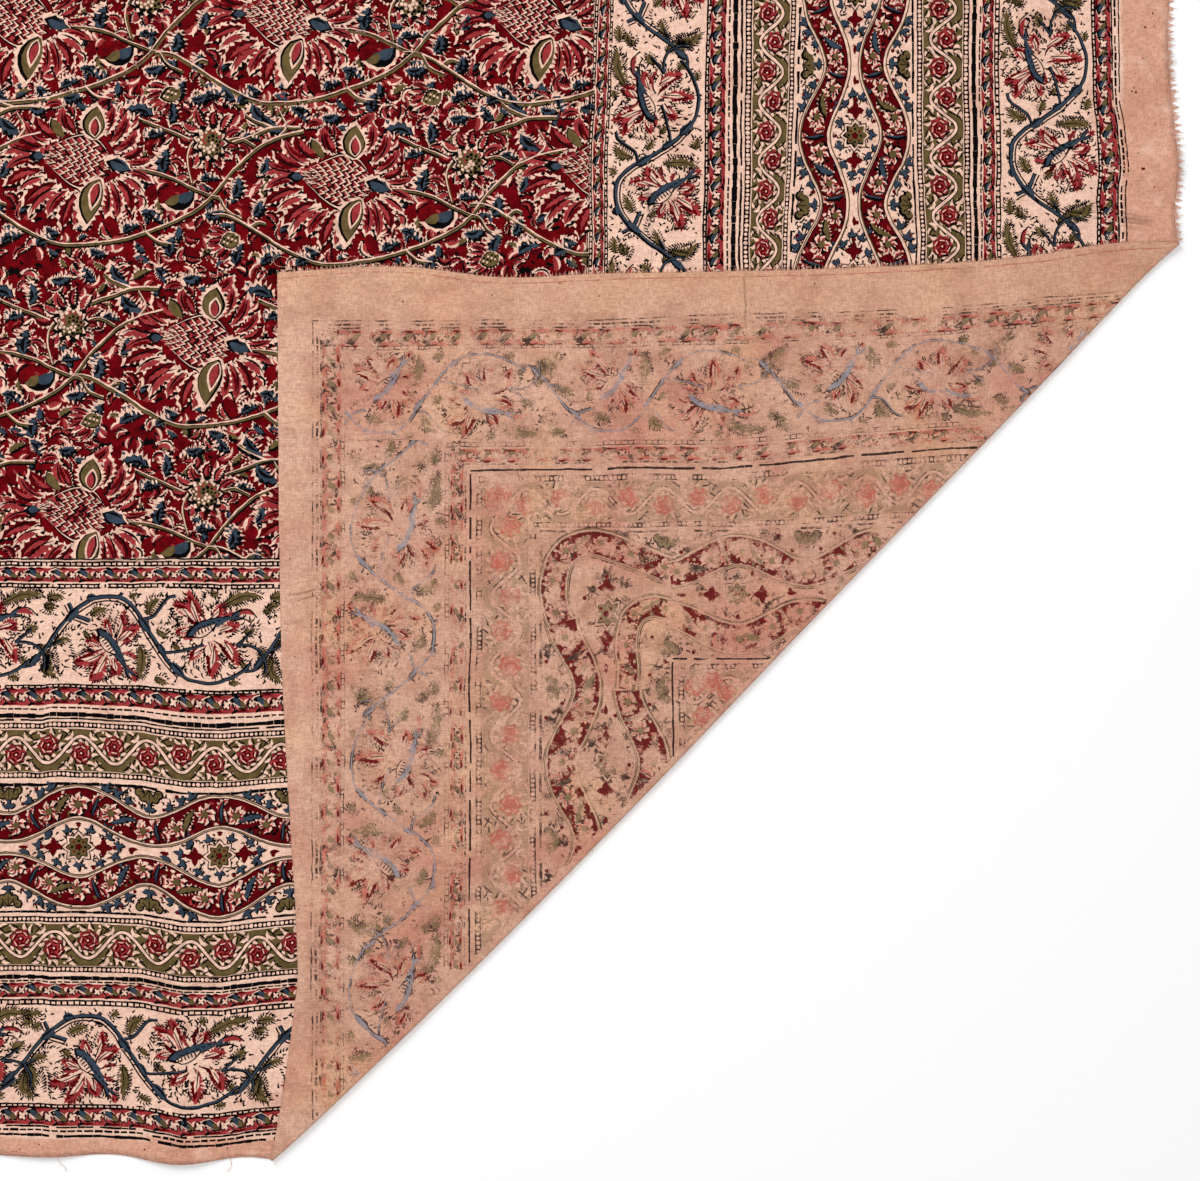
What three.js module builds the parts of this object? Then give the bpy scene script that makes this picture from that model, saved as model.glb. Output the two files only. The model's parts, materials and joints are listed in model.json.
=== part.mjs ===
// Woodblock-printed cotton cloth: a cut length of about a metre, lying flat, with its lower right
// corner turned back over the rest in one soft diagonal fold, so that the reverse shows.
// Millimetres. X runs to the right, Y away from the viewer, Z up; the origin lies under the middle
// of the cloth, on the surface that it rests on.
import * as THREE from "three";

// Driving dimensions
const THICKNESS = 1.2; // of the cloth
const FOLD_RADIUS = 1.7; // of the middle of the cloth where it turns back
const FLAP_LIFT = 2.0; // from the middle of the lower layer to the middle of the upper one
const SETTLE = 60; // way over which the turned-back layer sinks from the fold to that lift
const LEFT = -497; // cut edge at the left
const TOP = 490; // cut edge at the far side
const CORNER = 3; // width to which the outermost corners are blunted
const BOW_REACH = 170; // how far inwards from the fold its bow is felt

// The two ends of the fold, and the corner of the turned-back flap
const FOLD_START = { x: -257.3, y: -484.6 };
const FOLD_END = { x: 494.7, y: 275.6 };
const FLAP_CORNER = { x: -251.8, y: 250.7 };

// Selvedge along the near side, from the fold to the cut edge at the left
const NEAR_EDGE = [
  FOLD_START,
  { x: -283, y: -483.1 },
  { x: -334, y: -488.9 },
  { x: -388, y: -480.8 },
  { x: -440, y: -482.9 },
  { x: LEFT, y: -480.6 },
];

// Raw edge at the right, from the fold to the cut edge at the far side
const RIGHT_EDGE = [
  FOLD_END,
  { x: 492.3, y: 300 },
  { x: 494.8, y: 342 },
  { x: 486.6, y: 435 },
  { x: 489, y: TOP },
];

// The flap's left edge, which is the selvedge turned over, from the fold to the flap's corner
const FLAP_SELVEDGE = [
  FOLD_START,
  { x: -250.5, y: -440 },
  { x: -240.2, y: -357 },
  { x: -237, y: -318 },
  { x: -242.4, y: -205 },
  { x: -249, y: -45 },
  FLAP_CORNER,
];

// The flap's far edge, which is the raw edge turned over, from the fold to the flap's corner
const FLAP_RAW_EDGE = [
  FOLD_END,
  { x: 436, y: 273 },
  { x: 351, y: 261.5 },
  { x: 182, y: 253.2 },
  { x: 19, y: 249.8 },
  { x: -66, y: 246.5 },
  { x: -150, y: 255.6 },
  FLAP_CORNER,
];

// How far the fold bows outwards from the straight line between its ends
const FOLD_BOW = [
  { along: 0, out: 0 },
  { along: 60, out: 3.2 },
  { along: 230, out: 6.8 },
  { along: 430, out: 6.4 },
  { along: 625, out: 3.1 },
  { along: 890, out: 0.6 },
  { along: 1020, out: -2 },
  { along: 1069, out: 0 },
];

// Soft ridges: middle, bearing in degrees from X, half length, half width and height
const LOWER_RIDGES = [
  { x: -335, y: -482, bearing: 92, reach: 150, spread: 46, rise: 4.2 },
  { x: -440, y: -470, bearing: 60, reach: 120, spread: 38, rise: 2.4 },
  { x: 478, y: 338, bearing: 4, reach: 150, spread: 26, rise: 4.0 },
  { x: 470, y: 286, bearing: -8, reach: 120, spread: 24, rise: 3.0 },
  { x: 480, y: 430, bearing: 8, reach: 100, spread: 30, rise: 2.2 },
];
const FLAP_RIDGES = [
  { x: 134, y: 232, bearing: 94, reach: 95, spread: 22, rise: 3.4 },
  { x: -82, y: 235, bearing: 80, reach: 110, spread: 46, rise: 4.0 },
  { x: -228, y: -318, bearing: 6, reach: 130, spread: 52, rise: 4.4 },
  { x: -215, y: 20, bearing: -38, reach: 90, spread: 24, rise: 2.6 },
  { x: 330, y: 205, bearing: 48, reach: 170, spread: 44, rise: 3.2 },
  { x: 20, y: -120, bearing: 47, reach: 330, spread: 60, rise: 2.6 },
];

// Grid of the cloth: cells along the fold, and rows in each stretch across it
const COLUMNS = 40;
const ROWS = { farCorner: 15, band: 1, border: 6, turn: 7, flap: 16 };

const start = new THREE.Vector2(FOLD_START.x, FOLD_START.y);
const along = new THREE.Vector2(FOLD_END.x, FOLD_END.y).sub(start);
const foldLength = along.length();
along.normalize();
const inward = new THREE.Vector2(-along.y, along.x);

// Place of a point relative to the fold: distance inwards from it, and distance along it
const acrossFold = (p) => (p.x - start.x) * inward.x + (p.y - start.y) * inward.y;
const alongFold = (p) => (p.x - start.x) * along.x + (p.y - start.y) * along.y;

// Smooth curve through a table's rows
function smoothCurve(rows, steps = 120) {
  const knots = rows.map((row) => new THREE.Vector2(row.x, row.y));
  return new THREE.SplineCurve(knots).getPoints(steps);
}

// Value of a line of (at, value) pairs, whose at rises, between two of its pairs
function between(pairs, at) {
  let i = 1;
  while (i < pairs.length - 1 && pairs[i].at < at) i += 1;
  const [a, b] = [pairs[i - 1], pairs[i]];
  const share = THREE.MathUtils.clamp((at - a.at) / (b.at - a.at), 0, 1);
  return a.value + (b.value - a.value) * share;
}

// Distance along the fold at which a row across the cloth meets an edge
function edgeOf(points) {
  const pairs = points.map((p) => ({ at: acrossFold(p), value: alongFold(p) }));
  return (across) => between(pairs, across);
}

const farLeft = { x: LEFT, y: TOP };
const lowerStart = edgeOf([...smoothCurve(NEAR_EDGE), farLeft]);
const lowerEnd = edgeOf([...smoothCurve(RIGHT_EDGE), farLeft]);
const flapStart = edgeOf(smoothCurve(FLAP_SELVEDGE));
const flapEnd = edgeOf(smoothCurve(FLAP_RAW_EDGE));

const bowCurve = smoothCurve(FOLD_BOW.map((row) => ({ x: row.along, y: row.out })));
const bowPairs = bowCurve.map((p) => ({ at: p.x, value: p.y }));

// Bow of the cloth outwards, which fades from the fold inwards
function bowAt(across, distance) {
  const fade = Math.exp(-((across / BOW_REACH) ** 2));
  return between(bowPairs, distance) * fade;
}

// Height that a table of ridges gives a place; each ridge ends smoothly at its own rim
function relief(ridges, x, y) {
  let height = 0;
  for (const ridge of ridges) {
    const turn = THREE.MathUtils.degToRad(ridge.bearing);
    const dx = x - ridge.x;
    const dy = y - ridge.y;
    const lengthwise = (dx * Math.cos(turn) + dy * Math.sin(turn)) / ridge.reach;
    const sideways = (dy * Math.cos(turn) - dx * Math.sin(turn)) / ridge.spread;
    const inside = 1 - lengthwise ** 2 - sideways ** 2;
    if (inside > 0) height += ridge.rise * inside ** 2;
  }
  return height;
}

// Rows across the cloth, from the far left corner, over the fold, to the flap's corner.
// Each has its distance inwards from the fold, its height over the lower layer, how much of the
// flap's own ridges it takes, and its two ends.
function clothRows() {
  const rows = [];
  const blunt = CORNER / 2;
  const stops = [
    { across: acrossFold(farLeft) - blunt, rows: ROWS.farCorner },
    { across: acrossFold({ x: LEFT, y: NEAR_EDGE.at(-1).y }), rows: ROWS.band },
    { across: acrossFold({ x: RIGHT_EDGE.at(-1).x, y: TOP }), rows: ROWS.border },
    { across: 0, rows: 0 },
  ];
  stops.slice(0, -1).forEach((stop, k) => {
    for (let i = 0; i < stop.rows; i += 1) {
      const across = THREE.MathUtils.lerp(stop.across, stops[k + 1].across, i / stop.rows);
      rows.push({ across, lift: 0, flap: 0, start: lowerStart(across), end: lowerEnd(across) });
    }
  });
  for (let i = 0; i <= ROWS.turn; i += 1) {
    const angle = (Math.PI * i) / ROWS.turn;
    const across = -FOLD_RADIUS * Math.sin(angle);
    const lift = FOLD_RADIUS * (1 - Math.cos(angle));
    rows.push({ across, lift, flap: 0, start: 0, end: foldLength });
  }
  const flapReach = acrossFold(FLAP_CORNER) - blunt;
  for (let i = 1; i <= ROWS.flap; i += 1) {
    const across = (flapReach * i) / ROWS.flap;
    const settled = THREE.MathUtils.smoothstep(across, 0, SETTLE);
    const lift = THREE.MathUtils.lerp(2 * FOLD_RADIUS, FLAP_LIFT, settled);
    rows.push({ across, lift, flap: settled, start: flapStart(across), end: flapEnd(across) });
  }
  return rows;
}

// Middle of the cloth's thickness at each point of the grid
function middlePoint(row, j) {
  const distance = THREE.MathUtils.lerp(row.start, row.end, j / COLUMNS);
  const inwards = row.across - bowAt(row.across, distance);
  const x = start.x + along.x * distance + inward.x * inwards;
  const y = start.y + along.y * distance + inward.y * inwards;
  const ridges = relief(LOWER_RIDGES, x, y) + row.flap * relief(FLAP_RIDGES, x, y);
  return new THREE.Vector3(x, y, THICKNESS / 2 + row.lift + ridges);
}

// Closed sheet: the grid's two faces half a thickness to each side, and a wall all round
function sheetGeometry() {
  const grid = clothRows().map((row) =>
    Array.from({ length: COLUMNS + 1 }, (_, j) => middlePoint(row, j)),
  );
  const last = grid.length - 1;
  const positions = [];
  for (const side of [1, -1]) {
    grid.forEach((row, i) => {
      row.forEach((point, j) => {
        const down = grid[Math.min(i + 1, last)][j].clone().sub(grid[Math.max(i - 1, 0)][j]);
        const over = row[Math.min(j + 1, COLUMNS)].clone().sub(row[Math.max(j - 1, 0)]);
        const normal = down.cross(over).normalize();
        positions.push(...point.clone().addScaledVector(normal, (side * THICKNESS) / 2));
      });
    });
  }
  const perSide = positions.length / 6;
  const index = [];
  const quad = (a, b, c, d) => index.push(a, b, c, a, c, d);
  const at = (i, j, under = 0) => under * perSide + i * (COLUMNS + 1) + j;
  for (let i = 0; i < last; i += 1) {
    for (let j = 0; j < COLUMNS; j += 1) {
      quad(at(i, j), at(i + 1, j), at(i + 1, j + 1), at(i, j + 1));
      quad(at(i, j, 1), at(i, j + 1, 1), at(i + 1, j + 1, 1), at(i + 1, j, 1));
    }
  }
  const rim = [];
  for (let i = 0; i < last; i += 1) rim.push([i, 0]);
  for (let j = 0; j < COLUMNS; j += 1) rim.push([last, j]);
  for (let i = last; i > 0; i -= 1) rim.push([i, COLUMNS]);
  for (let j = COLUMNS; j > 0; j -= 1) rim.push([0, j]);
  rim.forEach(([i, j], k) => {
    const [m, n] = rim[(k + 1) % rim.length];
    quad(at(i, j), at(i, j, 1), at(m, n, 1), at(m, n));
  });
  const geometry = new THREE.BufferGeometry();
  geometry.setAttribute("position", new THREE.Float32BufferAttribute(positions, 3));
  geometry.setIndex(index);
  geometry.computeVertexNormals();
  return geometry;
}

const cotton = new THREE.MeshStandardMaterial({ color: "#c98f78", roughness: 0.93, metalness: 0 });
const cloth = new THREE.Mesh(sheetGeometry(), cotton);
cloth.name = "printed_cloth";

const part = new THREE.Group();
part.add(cloth);
export default part;
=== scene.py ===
"""Dresses the woodblock-printed cotton cloth: the lying sheet with its turned-back corner, the print on its
face in six inks, the paler print that shows through on the reverse, its frayed edge, and a plain studio."""

import json
import math
from collections import namedtuple

import bpy
import numpy as np
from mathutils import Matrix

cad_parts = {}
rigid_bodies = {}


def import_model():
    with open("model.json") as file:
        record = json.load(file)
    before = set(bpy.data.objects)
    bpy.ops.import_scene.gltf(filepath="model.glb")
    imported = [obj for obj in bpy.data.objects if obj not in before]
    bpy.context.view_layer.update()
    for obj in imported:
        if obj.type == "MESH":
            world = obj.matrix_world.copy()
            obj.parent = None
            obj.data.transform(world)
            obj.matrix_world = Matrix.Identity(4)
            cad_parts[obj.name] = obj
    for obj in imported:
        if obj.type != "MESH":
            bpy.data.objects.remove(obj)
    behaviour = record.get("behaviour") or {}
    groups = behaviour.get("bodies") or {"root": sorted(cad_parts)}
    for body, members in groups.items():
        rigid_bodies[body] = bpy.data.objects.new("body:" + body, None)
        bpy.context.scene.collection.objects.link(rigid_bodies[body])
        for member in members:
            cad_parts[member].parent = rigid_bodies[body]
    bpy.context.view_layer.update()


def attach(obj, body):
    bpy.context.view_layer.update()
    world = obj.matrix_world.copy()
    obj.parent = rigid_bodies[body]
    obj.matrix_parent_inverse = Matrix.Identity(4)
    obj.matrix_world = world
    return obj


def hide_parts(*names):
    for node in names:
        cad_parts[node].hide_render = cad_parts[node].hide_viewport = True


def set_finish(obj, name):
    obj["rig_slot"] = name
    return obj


bl_info = {
    "name": "Block-printed cloth",
    "version": (1, 0, 0),
    "blender": (4, 5, 0),
    "location": "3D View > Sidebar > Cloth",
    "description": "Builds a block-printed cotton cloth with one corner turned back",
    "category": "Object",
}

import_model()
NODE = "printed_cloth"
SLOT = "printed_cotton"
BODY = "root"
MM = 0.001


# Sizes and tables below are in millimetres, in the frame's plane: X right, Y away from the viewer.

Place = namedtuple("Place", "x y")
Bow = namedtuple("Bow", "along out")
Ridge = namedtuple("Ridge", "x y bearing reach spread rise")

LEFT_CUT, FAR_CUT = -497.0, 490.0
CORNER_WIDTH = 3.0
FOLD_START = Place(-257.3, -484.6)
FOLD_END = Place(494.7, 275.6)
FLAP_CORNER = Place(-251.8, 250.7)

NEAR_EDGE = [
    FOLD_START, Place(-283, -483.1), Place(-334, -488.9), Place(-388, -480.8), Place(-440, -482.9),
    Place(LEFT_CUT, -480.6),
]
RIGHT_EDGE = [
    FOLD_END, Place(492.3, 300), Place(494.8, 342), Place(486.6, 435), Place(489, FAR_CUT),
]
FLAP_SELVEDGE = [
    FOLD_START, Place(-250.5, -440), Place(-240.2, -357), Place(-237, -318), Place(-242.4, -205),
    Place(-249, -45), FLAP_CORNER,
]
FLAP_RAW_EDGE = [
    FOLD_END, Place(436, 273), Place(351, 261.5), Place(182, 253.2), Place(19, 249.8), Place(-66, 246.5),
    Place(-150, 255.6), FLAP_CORNER,
]
FOLD_BOW = [
    Bow(0, 0), Bow(60, 3.2), Bow(230, 6.8), Bow(430, 6.4), Bow(625, 3.1), Bow(890, 0.6), Bow(1020, -2),
    Bow(1069, 0),
]
BOW_REACH = 170.0
FOLD_STEPS = 12
LOWER_RIDGES = [
    Ridge(-335, -482, 92, 150, 46, 4.2),
    Ridge(-440, -470, 60, 120, 38, 2.4),
    Ridge(478, 338, 4, 150, 26, 4.0),
    Ridge(470, 286, -8, 120, 24, 3.0),
    Ridge(480, 430, 8, 100, 30, 2.2),
]
FLAP_RIDGES = [
    Ridge(134, 232, 94, 95, 22, 3.4),
    Ridge(-82, 235, 80, 110, 46, 4.0),
    Ridge(-228, -318, 6, 130, 52, 4.4),
    Ridge(-215, 20, -38, 90, 24, 2.6),
    Ridge(330, 205, 48, 170, 44, 3.2),
    Ridge(20, -120, 47, 330, 60, 2.6),
]


def dye(red, green, blue):
    """A colour as seen on a screen, 0 to 255, as the light that Blender works with."""
    shares = [c / 255 for c in (red, green, blue)]
    return tuple(c / 12.92 if c <= 0.04045 else ((c + 0.055) / 1.055) ** 2.4 for c in shares)


def size(name, description, default):
    return bpy.props.FloatProperty(
        name=name, description=description, default=default, min=0, unit="LENGTH", precision=5
    )


def colour(name, description, default):
    return bpy.props.FloatVectorProperty(
        name=name, description=description, default=default, min=0, max=1, size=3, subtype="COLOR"
    )


class ClothSizes(bpy.types.PropertyGroup):
    """Sizes of the cloth as it lies"""

    thickness: size("Thickness", "Thickness of the cotton", 0.0005)
    fold_radius: size("Fold radius", "Radius at which the cloth turns back", 0.0017)
    flap_lift: size("Flap lift", "Height of the turned-back layer over the lower one", 0.002)
    settle: size("Settle", "Way over which the turned-back layer sinks to its lift", 0.06)
    crumple: size("Crumple", "Height of the small uneven waves all over", 0.0009)
    cell: size("Cell", "Size of the cells of the cloth's mesh", 0.0062)
    ink_lift: size("Ink lift", "Height of the lowest ink over the threads", 0.00007)
    ink_step: size("Ink step", "Height from one ink to the next", 0.00002)


class FraySizes(bpy.types.PropertyGroup):
    """Sizes of the loose threads along the raw edge"""

    length: size("Length", "Length of the loose threads", 0.0052)
    thread: size("Thread", "Width of one loose thread", 0.0005)
    spacing: size("Spacing", "Distance between loose threads", 0.0009)


class Dyes(bpy.types.PropertyGroup):
    """Colours of the cloth and of its inks"""

    ground: colour("Ground", "Cloth between the printed figures", dye(247, 206, 184))
    margin: colour("Margin", "Bare cloth outside the border", dye(225, 166, 141))
    back: colour("Reverse", "Bare reverse of the cloth", dye(228, 182, 157))
    back_warm: colour("Reverse, printed", "Reverse where ink comes through", dye(184, 126, 103))
    madder: colour("Madder", "Deep red of the field", dye(116, 4, 14))
    rose: colour("Rose", "Lighter red of flowers and guard stripes", dye(160, 54, 56))
    cream: colour("Cream", "Outlines left bare on the red", dye(244, 200, 178))
    olive: colour("Olive", "Leaves and meander ground", dye(104, 86, 52))
    blue: colour("Slate blue", "Vines and small leaves", dye(56, 68, 82))
    black: colour("Black", "Outlines, dashes and beads", dye(9, 6, 8))


# Curves, noise and the lying cloth


def smooth_curve(points, steps=120):
    """A curve through the points, as the cloth's solid has it."""
    knots = np.array(points, float)
    last = len(knots) - 1
    at = np.linspace(0, last, steps + 1)
    i = np.minimum(at.astype(int), last - 1)
    t = (at - i)[:, None]
    before, here = knots[np.maximum(i - 1, 0)], knots[i]
    after, beyond = knots[i + 1], knots[np.minimum(i + 2, last)]
    out, back = (after - before) / 2, (beyond - here) / 2
    cubic, square = 2 * here - 2 * after + out + back, -3 * here + 3 * after - 2 * out - back
    return cubic * t**3 + square * t**2 + out * t + here


def lattice(i, j, seed):
    """An even random number from -1 to 1 for each whole pair i, j."""
    with np.errstate(over="ignore"):
        h = i.astype(np.uint32) * np.uint32(374761393) + j.astype(np.uint32) * np.uint32(668265263)
        h = (h + np.uint32(seed * 7919 + 13)) * np.uint32(2246822519)
        h = (h ^ (h >> np.uint32(13))) * np.uint32(1274126177)
        h = h ^ (h >> np.uint32(16))
    return h / 2147483647.5 - 1


def noise(points, cell, seed):
    """Smooth uneven values from -1 to 1 over the plane, about one swell to each two cells."""
    scaled = np.asarray(points, float)[..., :2] / cell
    whole = np.floor(scaled).astype(np.int64)
    t = scaled - whole
    t = t * t * (3 - 2 * t)
    i, j = whole[..., 0], whole[..., 1]
    low = lattice(i, j, seed) * (1 - t[..., 0]) + lattice(i + 1, j, seed) * t[..., 0]
    high = lattice(i, j + 1, seed) * (1 - t[..., 0]) + lattice(i + 1, j + 1, seed) * t[..., 0]
    return low * (1 - t[..., 1]) + high * t[..., 1]


def relief(ridges, x, y):
    """Height that soft ridges give a place; each ends smoothly at its own rim."""
    height = np.zeros_like(x)
    for ridge in ridges:
        turn = math.radians(ridge.bearing)
        dx, dy = x - ridge.x, y - ridge.y
        lengthwise = (dx * math.cos(turn) + dy * math.sin(turn)) / ridge.reach
        sideways = (dy * math.cos(turn) - dx * math.sin(turn)) / ridge.spread
        inside = np.clip(1 - lengthwise**2 - sideways**2, 0, None)
        height += ridge.rise * inside**2
    return height


def smoothstep(x, low, high):
    t = np.clip((x - low) / (high - low), 0, 1)
    return t * t * (3 - 2 * t)


class LyingCloth:
    """The cloth as it lies: a grid of its middle surface, from the far left corner over the fold to the
    corner of the turned-back flap, and the way from a place in the plane to a place on either face."""

    def __init__(self, sizes):
        self.half = sizes.thickness / MM / 2
        self.radius = sizes.fold_radius / MM
        self.start = np.array(FOLD_START)
        fold = np.array(FOLD_END) - self.start
        self.fold_length = float(np.hypot(*fold))
        self.along = fold / self.fold_length
        self.inward = np.array([-self.along[1], self.along[0]])
        self.turn = math.pi * self.radius
        self.bow_line = smooth_curve(FOLD_BOW)
        self.lay(sizes)

    def across_fold(self, points):
        return (np.asarray(points) - self.start) @ self.inward

    def along_fold(self, points):
        return (np.asarray(points) - self.start) @ self.along

    def bow(self, across, distance):
        out = np.interp(distance, self.bow_line[:, 0], self.bow_line[:, 1])
        return out * np.exp(-((across / BOW_REACH) ** 2))

    def edge(self, points, across):
        """Distance along the fold at which rows across the cloth meet an edge."""
        return np.interp(across, self.across_fold(points), self.along_fold(points))

    def lay(self, sizes):
        cell = sizes.cell / MM
        lift, settle = sizes.flap_lift / MM, sizes.settle / MM
        far_left = [(LEFT_CUT, FAR_CUT)]
        near = np.vstack([smooth_curve(NEAR_EDGE), far_left])
        right = np.vstack([smooth_curve(RIGHT_EDGE), far_left])
        stops = [
            self.across_fold(far_left)[0] - CORNER_WIDTH / 2,
            self.across_fold(NEAR_EDGE[-1]),
            self.across_fold(RIGHT_EDGE[-1]),
            0,
        ]
        pairs = zip(stops, stops[1:])
        parts = [np.linspace(a, b, max(2, round((a - b) / cell)), endpoint=False) for a, b in pairs]
        lower = np.concatenate(parts)
        angle = np.linspace(0, math.pi, FOLD_STEPS + 1)
        reach = self.across_fold(FLAP_CORNER) - CORNER_WIDTH / 2
        flap = np.linspace(0, reach, round(reach / cell))[1:]
        settled = smoothstep(flap, 0, settle)
        across = np.concatenate([lower, -self.radius * np.sin(angle), flap])
        flap_height = 2 * self.radius * (1 - settled) + lift * settled
        height = np.concatenate([0 * lower, self.radius * (1 - np.cos(angle)), flap_height])
        self.rows = np.concatenate([-lower, self.radius * angle, self.turn + flap])
        self.fold_middle_row = len(lower) + FOLD_STEPS // 2
        selvedge = self.edge(smooth_curve(FLAP_SELVEDGE), flap)
        raw_edge = self.edge(smooth_curve(FLAP_RAW_EDGE), flap)
        self.low = np.concatenate([self.edge(near, lower), 0 * angle, selvedge])
        self.high = np.concatenate([self.edge(right, lower), 0 * angle + self.fold_length, raw_edge])
        self.columns = round(self.fold_length / cell)
        t = np.linspace(0, 1, self.columns + 1)
        distance = self.low[:, None] * (1 - t) + self.high[:, None] * t
        inwards = across[:, None] - self.bow(across[:, None], distance)
        xy = self.start + self.along * distance[..., None] + self.inward * inwards[..., None]
        flap_share = np.concatenate([0 * lower, 0 * angle, settled])[:, None]
        x, y = xy[..., 0], xy[..., 1]
        crumple = sizes.crumple / MM
        waves = np.clip(noise(xy, 75, 1) + 0.4 * noise(xy, 31, 2), 0, None)
        flap_waves = np.clip(noise(xy, 62, 3) + 0.45 * noise(xy, 27, 4), 0, None)
        z = self.half + height[:, None] + relief(LOWER_RIDGES, x, y) + crumple * waves
        z += flap_share * (relief(FLAP_RIDGES, x, y) + 1.4 * crumple * flap_waves)
        self.middle = np.dstack([xy, z])
        down = np.gradient(self.middle, axis=0)
        over = np.gradient(self.middle, axis=1)
        normal = np.cross(down, over)
        self.normal = normal / np.linalg.norm(normal, axis=2, keepdims=True)

    def sample(self, grid, rows, distance):
        """The grid's values at distances along and across the unfolded cloth."""
        i = np.clip(np.interp(rows, self.rows, np.arange(len(self.rows))), 0, len(self.rows) - 1.001)
        i0 = i.astype(int)
        ti = i - i0
        low = self.low[i0] * (1 - ti) + self.low[i0 + 1] * ti
        high = self.high[i0] * (1 - ti) + self.high[i0 + 1] * ti
        j = np.clip((distance - low) / (high - low), 0, 1) * self.columns
        j0 = np.minimum(j.astype(int), self.columns - 1)
        ti, tj = ti[:, None], (j - j0)[:, None]
        return (
            grid[i0, j0] * (1 - ti) * (1 - tj)
            + grid[i0 + 1, j0] * ti * (1 - tj)
            + grid[i0, j0 + 1] * (1 - ti) * tj
            + grid[i0 + 1, j0 + 1] * ti * tj
        )

    def place(self, points, flap, lift):
        """Places in metres, and outward normals, of points seen in the plane: on the printed face of the
        lower layer, or on the reverse, which is up on the flap. Past the fold the flap's go round it."""
        across, distance = self.across_fold(points), self.along_fold(points)
        across = across + self.bow(across, distance)
        rows = np.maximum(self.turn + across, 0.3 * self.turn) if flap else np.minimum(-across, 0)
        side = -1 if flap else 1
        normal = side * self.sample(self.normal, rows, distance)
        middle = self.sample(self.middle, rows, distance)
        return (middle + normal * (self.half + np.reshape(lift, (-1, 1)))) * MM, normal


# Mesh and material helpers


INK_MAP_CORNER = Place(LEFT_CUT - 2, -495)
THREAD_MAP_CORNER = Place(LEFT_CUT - 2, -497)
MAP_SIDE = 1000


def new_piece(name, points, faces, materials):
    mesh = bpy.data.meshes.new(name)
    mesh.from_pydata(np.asarray(points).tolist(), [], np.asarray(faces).tolist())
    for material in materials:
        mesh.materials.append(material)
    piece = bpy.data.objects.new(name, mesh)
    bpy.context.scene.collection.objects.link(piece)
    mesh.shade_smooth()
    return piece


def bake_map(piece, uv):
    """The map that the piece's finish is baked on, from a place for each of its points."""
    layer = piece.data.uv_layers.new(name="OFBake")
    corners = np.empty(len(piece.data.loops), np.int32)
    piece.data.loops.foreach_get("vertex_index", corners)
    layer.uv.foreach_set("vector", np.asarray(uv, np.float32)[corners].ravel())


class Value:
    """A socket that takes part in sums: each operator adds a Math node."""

    def __init__(self, kit, socket):
        self.kit, self.socket = kit, socket

    def math(self, operation, *others):
        return self.kit.node("ShaderNodeMath", {"operation": operation}, dict(enumerate((self, *others))))

    def __add__(self, other):
        return self.math("ADD", other)

    __radd__ = __add__

    def __mul__(self, other):
        return self.math("MULTIPLY", other)

    __rmul__ = __mul__

    def __sub__(self, other):
        return self.math("SUBTRACT", other)

    def __rsub__(self, other):
        return (self * -1) + other

    def smooth(self, low, high):
        """0 below low, 1 above high, soft between."""
        sockets = {"Value": self, "From Min": low, "From Max": high}
        return self.kit.node("ShaderNodeMapRange", {"interpolation_type": "SMOOTHSTEP"}, sockets)

    def clamp(self):
        return self.kit.node("ShaderNodeClamp", {}, {"Value": self})

    def most(self, other):
        return self.math("MAXIMUM", other)


class Finish:
    """One material in the making, on Object coordinates in metres."""

    def __init__(self, name):
        self.material = bpy.data.materials.new(name)
        self.material.use_nodes = True
        self.tree = self.material.node_tree
        self.tree.nodes.clear()
        self.output = self.tree.nodes.new("ShaderNodeOutputMaterial")
        self.coordinates = self.tree.nodes.new("ShaderNodeTexCoord").outputs["Object"]

    def node(self, kind, settings, inputs, output=0):
        node = self.tree.nodes.new(kind)
        for key, value in settings.items():
            setattr(node, key, value)
        for key, value in inputs.items():
            source = value.socket if isinstance(value, Value) else value
            if isinstance(source, bpy.types.NodeSocket):
                self.tree.links.new(source, node.inputs[key])
            else:
                node.inputs[key].default_value = source
        return Value(self, node.outputs[output])

    def axes(self):
        node = self.tree.nodes.new("ShaderNodeSeparateXYZ")
        self.tree.links.new(self.coordinates, node.inputs[0])
        return [Value(self, s) for s in node.outputs]

    def cloud(self, scale, detail=2.0, roughness=0.5, stretch=(1, 1, 1), shift=(0, 0, 0)):
        """Uneven values about one half; scale is in swells to the metre."""
        where = {"Vector": self.coordinates, "Scale": stretch, "Location": shift}
        placed = self.node("ShaderNodeMapping", {}, where)
        swells = {"Vector": placed, "Scale": scale, "Detail": detail, "Roughness": roughness}
        return self.node("ShaderNodeTexNoise", {}, swells)

    def mix(self, factor, a, b):
        """Colour a where factor is 0, colour b where it is 1."""
        a, b = ((*c, 1) if isinstance(c, tuple) else c for c in (a, b))
        return self.node("ShaderNodeMix", {"data_type": "RGBA"}, {0: factor, 6: a, 7: b}, output=2)

    def cotton(self, base, bump, roughness=0.95, sheen=0.01):
        matt = {"Roughness": roughness, "Specular IOR Level": 0.04, "Sheen Roughness": 0.6}
        sockets = {"Base Color": base, "Sheen Weight": sheen, "Normal": bump} | matt
        shader = self.node("ShaderNodeBsdfPrincipled", {}, sockets)
        self.tree.links.new(shader.socket, self.output.inputs["Surface"])
        return self.material


def colours():
    dyes = bpy.context.scene.cloth_dyes
    return {name: tuple(getattr(dyes, name)) for name in Dyes.__annotations__}


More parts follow.
